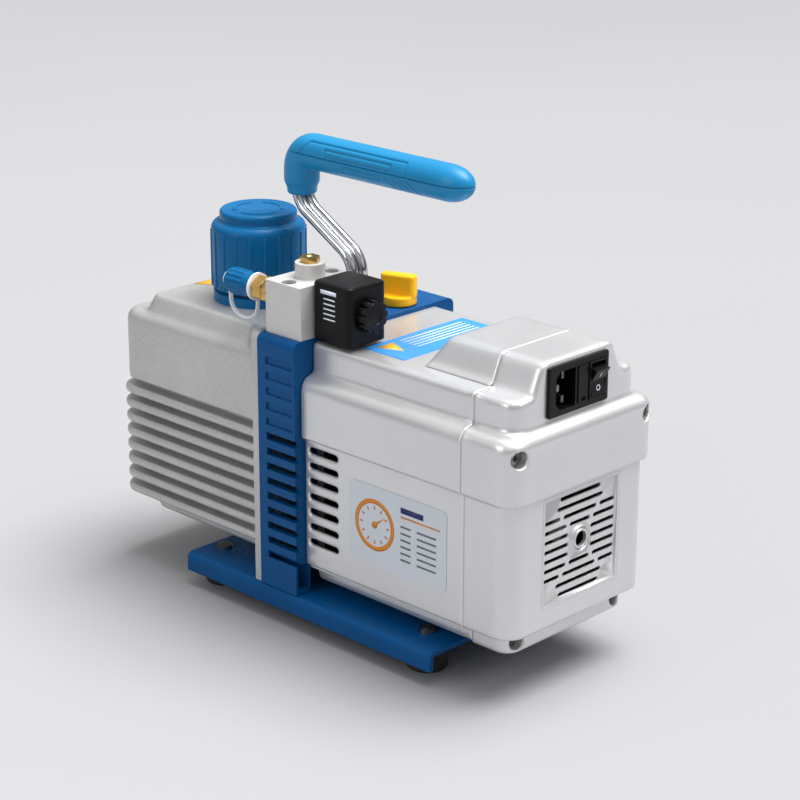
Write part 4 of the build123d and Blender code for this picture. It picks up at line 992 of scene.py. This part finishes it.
def markOnRocker(name, shape, side):
    rise = Vector((side * (rocker["end"] - rocker["middle"]), 0, rocker["half"])).normalized()
    out = Vector((rise.z, 0, -rise.x))
    centre = Vector(((rocker["middle"] + rocker["end"]) / 2, 0, side * rocker["half"] / 2))
    centre += out * rocker["lift"]
    basis = Matrix((Vector((0, 1, 0)), rise, out)).transposed().to_4x4()
    tilt = Matrix.Rotation(math.radians(rocker["tilt"]), 4, "Y")
    place = Matrix.Translation(Vector(rocker["pivot"]) * mm) @ tilt
    shape.transform(place @ Matrix.Translation(centre * mm) @ basis)
    settle(fromBmesh(name, shape), "paleInk", "power_rocker", angle=40)


mark, thin, thick = rocker["mark"], rocker["line"], rocker["thick"]
markOnRocker("markOn", prism(rect(-thin, thin, -mark, mark), 0, thick), 1)
markOnRocker("markOff", prism(disc(0, 0, mark), 0, thick, hole=disc(0, 0, rocker["hole"])), -1)
print("prints and marks made")


# Studio

camera = {"place": (0.9204, -0.9192, 0.5831), "azimuth": 44.27, "elevation": 19.21, "roll": 0.2, "view": 20.07,
          "sensor": 36, "clip": (0.02, 60)}


def makeCamera(settings):
    azimuth, elevation = math.radians(settings["azimuth"]), math.radians(settings["elevation"])
    forward = Vector((-math.sin(azimuth) * math.cos(elevation), math.cos(azimuth) * math.cos(elevation),
                      -math.sin(elevation)))
    right = Vector((math.cos(azimuth), math.sin(azimuth), 0))
    up = right.cross(forward)
    roll = math.radians(settings["roll"])
    turnedRight = right * math.cos(roll) + up * math.sin(roll)
    turnedUp = turnedRight.cross(forward)
    data = bpy.data.cameras.new("studioCamera")
    data.sensor_width = settings["sensor"]
    data.angle = math.radians(settings["view"])
    data.clip_start, data.clip_end = settings["clip"]
    holder = bpy.data.objects.new("studioCamera", data)
    matrix = Matrix((turnedRight, turnedUp, -forward)).transposed().to_4x4()
    matrix.translation = settings["place"]
    holder.matrix_world = matrix
    scene.collection.objects.link(holder)
    scene.camera = holder


def addLight(name, place, target, size, power, colour):
    data = bpy.data.lights.new(name, "AREA")
    data.shape = "RECTANGLE"
    data.size, data.size_y = size
    data.energy = power
    data.color = colour
    holder = bpy.data.objects.new(name, data)
    aim = Vector(target) - Vector(place)
    holder.matrix_world = Matrix.Translation(place) @ aim.to_track_quat("-Z", "Y").to_matrix().to_4x4()
    scene.collection.objects.link(holder)


lights = {  # place, aim, size in metres, power, colour
    "topSoftbox": ((0.3, 0.5, 2.4), (0, 0, 0.1), (2.4, 2.4), 34, (1, 1, 1)),
    "leftSoftbox": ((-0.6, -2.6, 1.3), (0, 0, 0.12), (1.2, 1.6), 15, (1, 1, 1)),
    "rightSoftbox": ((2.8, 0.2, 1.5), (0, 0, 0.12), (1.2, 1.6), 2.5, (0.99, 1, 1)),
}
ceiling = {"from": (0.5, 0.85, 2.7), "spread": 40, "strength": 4.1}
sky = {"low": (0.16, 0.165, 0.175), "high": (1.0, 1.0, 1.0), "strength": 0.75}

makeCamera(camera)
for name, values in lights.items():
    addLight(name, *values)
data = bpy.data.lights.new("ceilingLight", "SUN")
data.energy = ceiling["strength"]
data.angle = math.radians(ceiling["spread"])
holder = bpy.data.objects.new("ceilingLight", data)
holder.rotation_euler = (-Vector(ceiling["from"])).to_track_quat("-Z", "Y").to_euler()
scene.collection.objects.link(holder)

world = bpy.data.worlds.new("paleStudio")
world.use_nodes = True
skyTree = world.node_tree
direction = skyTree.nodes.new("ShaderNodeTexCoord")
split = skyTree.nodes.new("ShaderNodeSeparateXYZ")
skyTree.links.new(direction.outputs["Generated"], split.inputs["Vector"])
height = addRange(skyTree, split.outputs["Z"], 0.0, 1.0, 0.05, 0.75)
background = skyTree.nodes["Background"]
skyTree.links.new(mixColour(skyTree, height, sky["low"], sky["high"]), background.inputs["Color"])
background.inputs["Strength"].default_value = sky["strength"]
scene.world = world
scene.view_settings.view_transform = "Standard"


paper = {"radius": 14, "patch": 0.8, "deep": (0.320, 0.320, 0.329), "pale": (0.338, 0.338, 0.347),
         "rough": 0.75, "shine": 0.2}


def makeFloor():
    outline = bmesh.new()
    bmesh.ops.create_circle(outline, cap_ends=True, segments=64, radius=paper["radius"])
    data = bpy.data.meshes.new("studioFloor")
    outline.to_mesh(data)
    outline.free()
    floor = bpy.data.objects.new("studioFloor", data)
    scene.collection.objects.link(floor)
    material, tree, shader = newMaterial("floorPaper")
    tone = addNoise(tree, paper["patch"], 2.0)
    tree.links.new(mixColour(tree, addRange(tree, tone, 0.0, 1.0), paper["deep"], paper["pale"]),
                   shader.inputs["Base Color"])
    shader.inputs["Roughness"].default_value = paper["rough"]
    shader.inputs["Specular IOR Level"].default_value = paper["shine"]
    data.materials.append(material)


makeFloor()
print("studio ready")
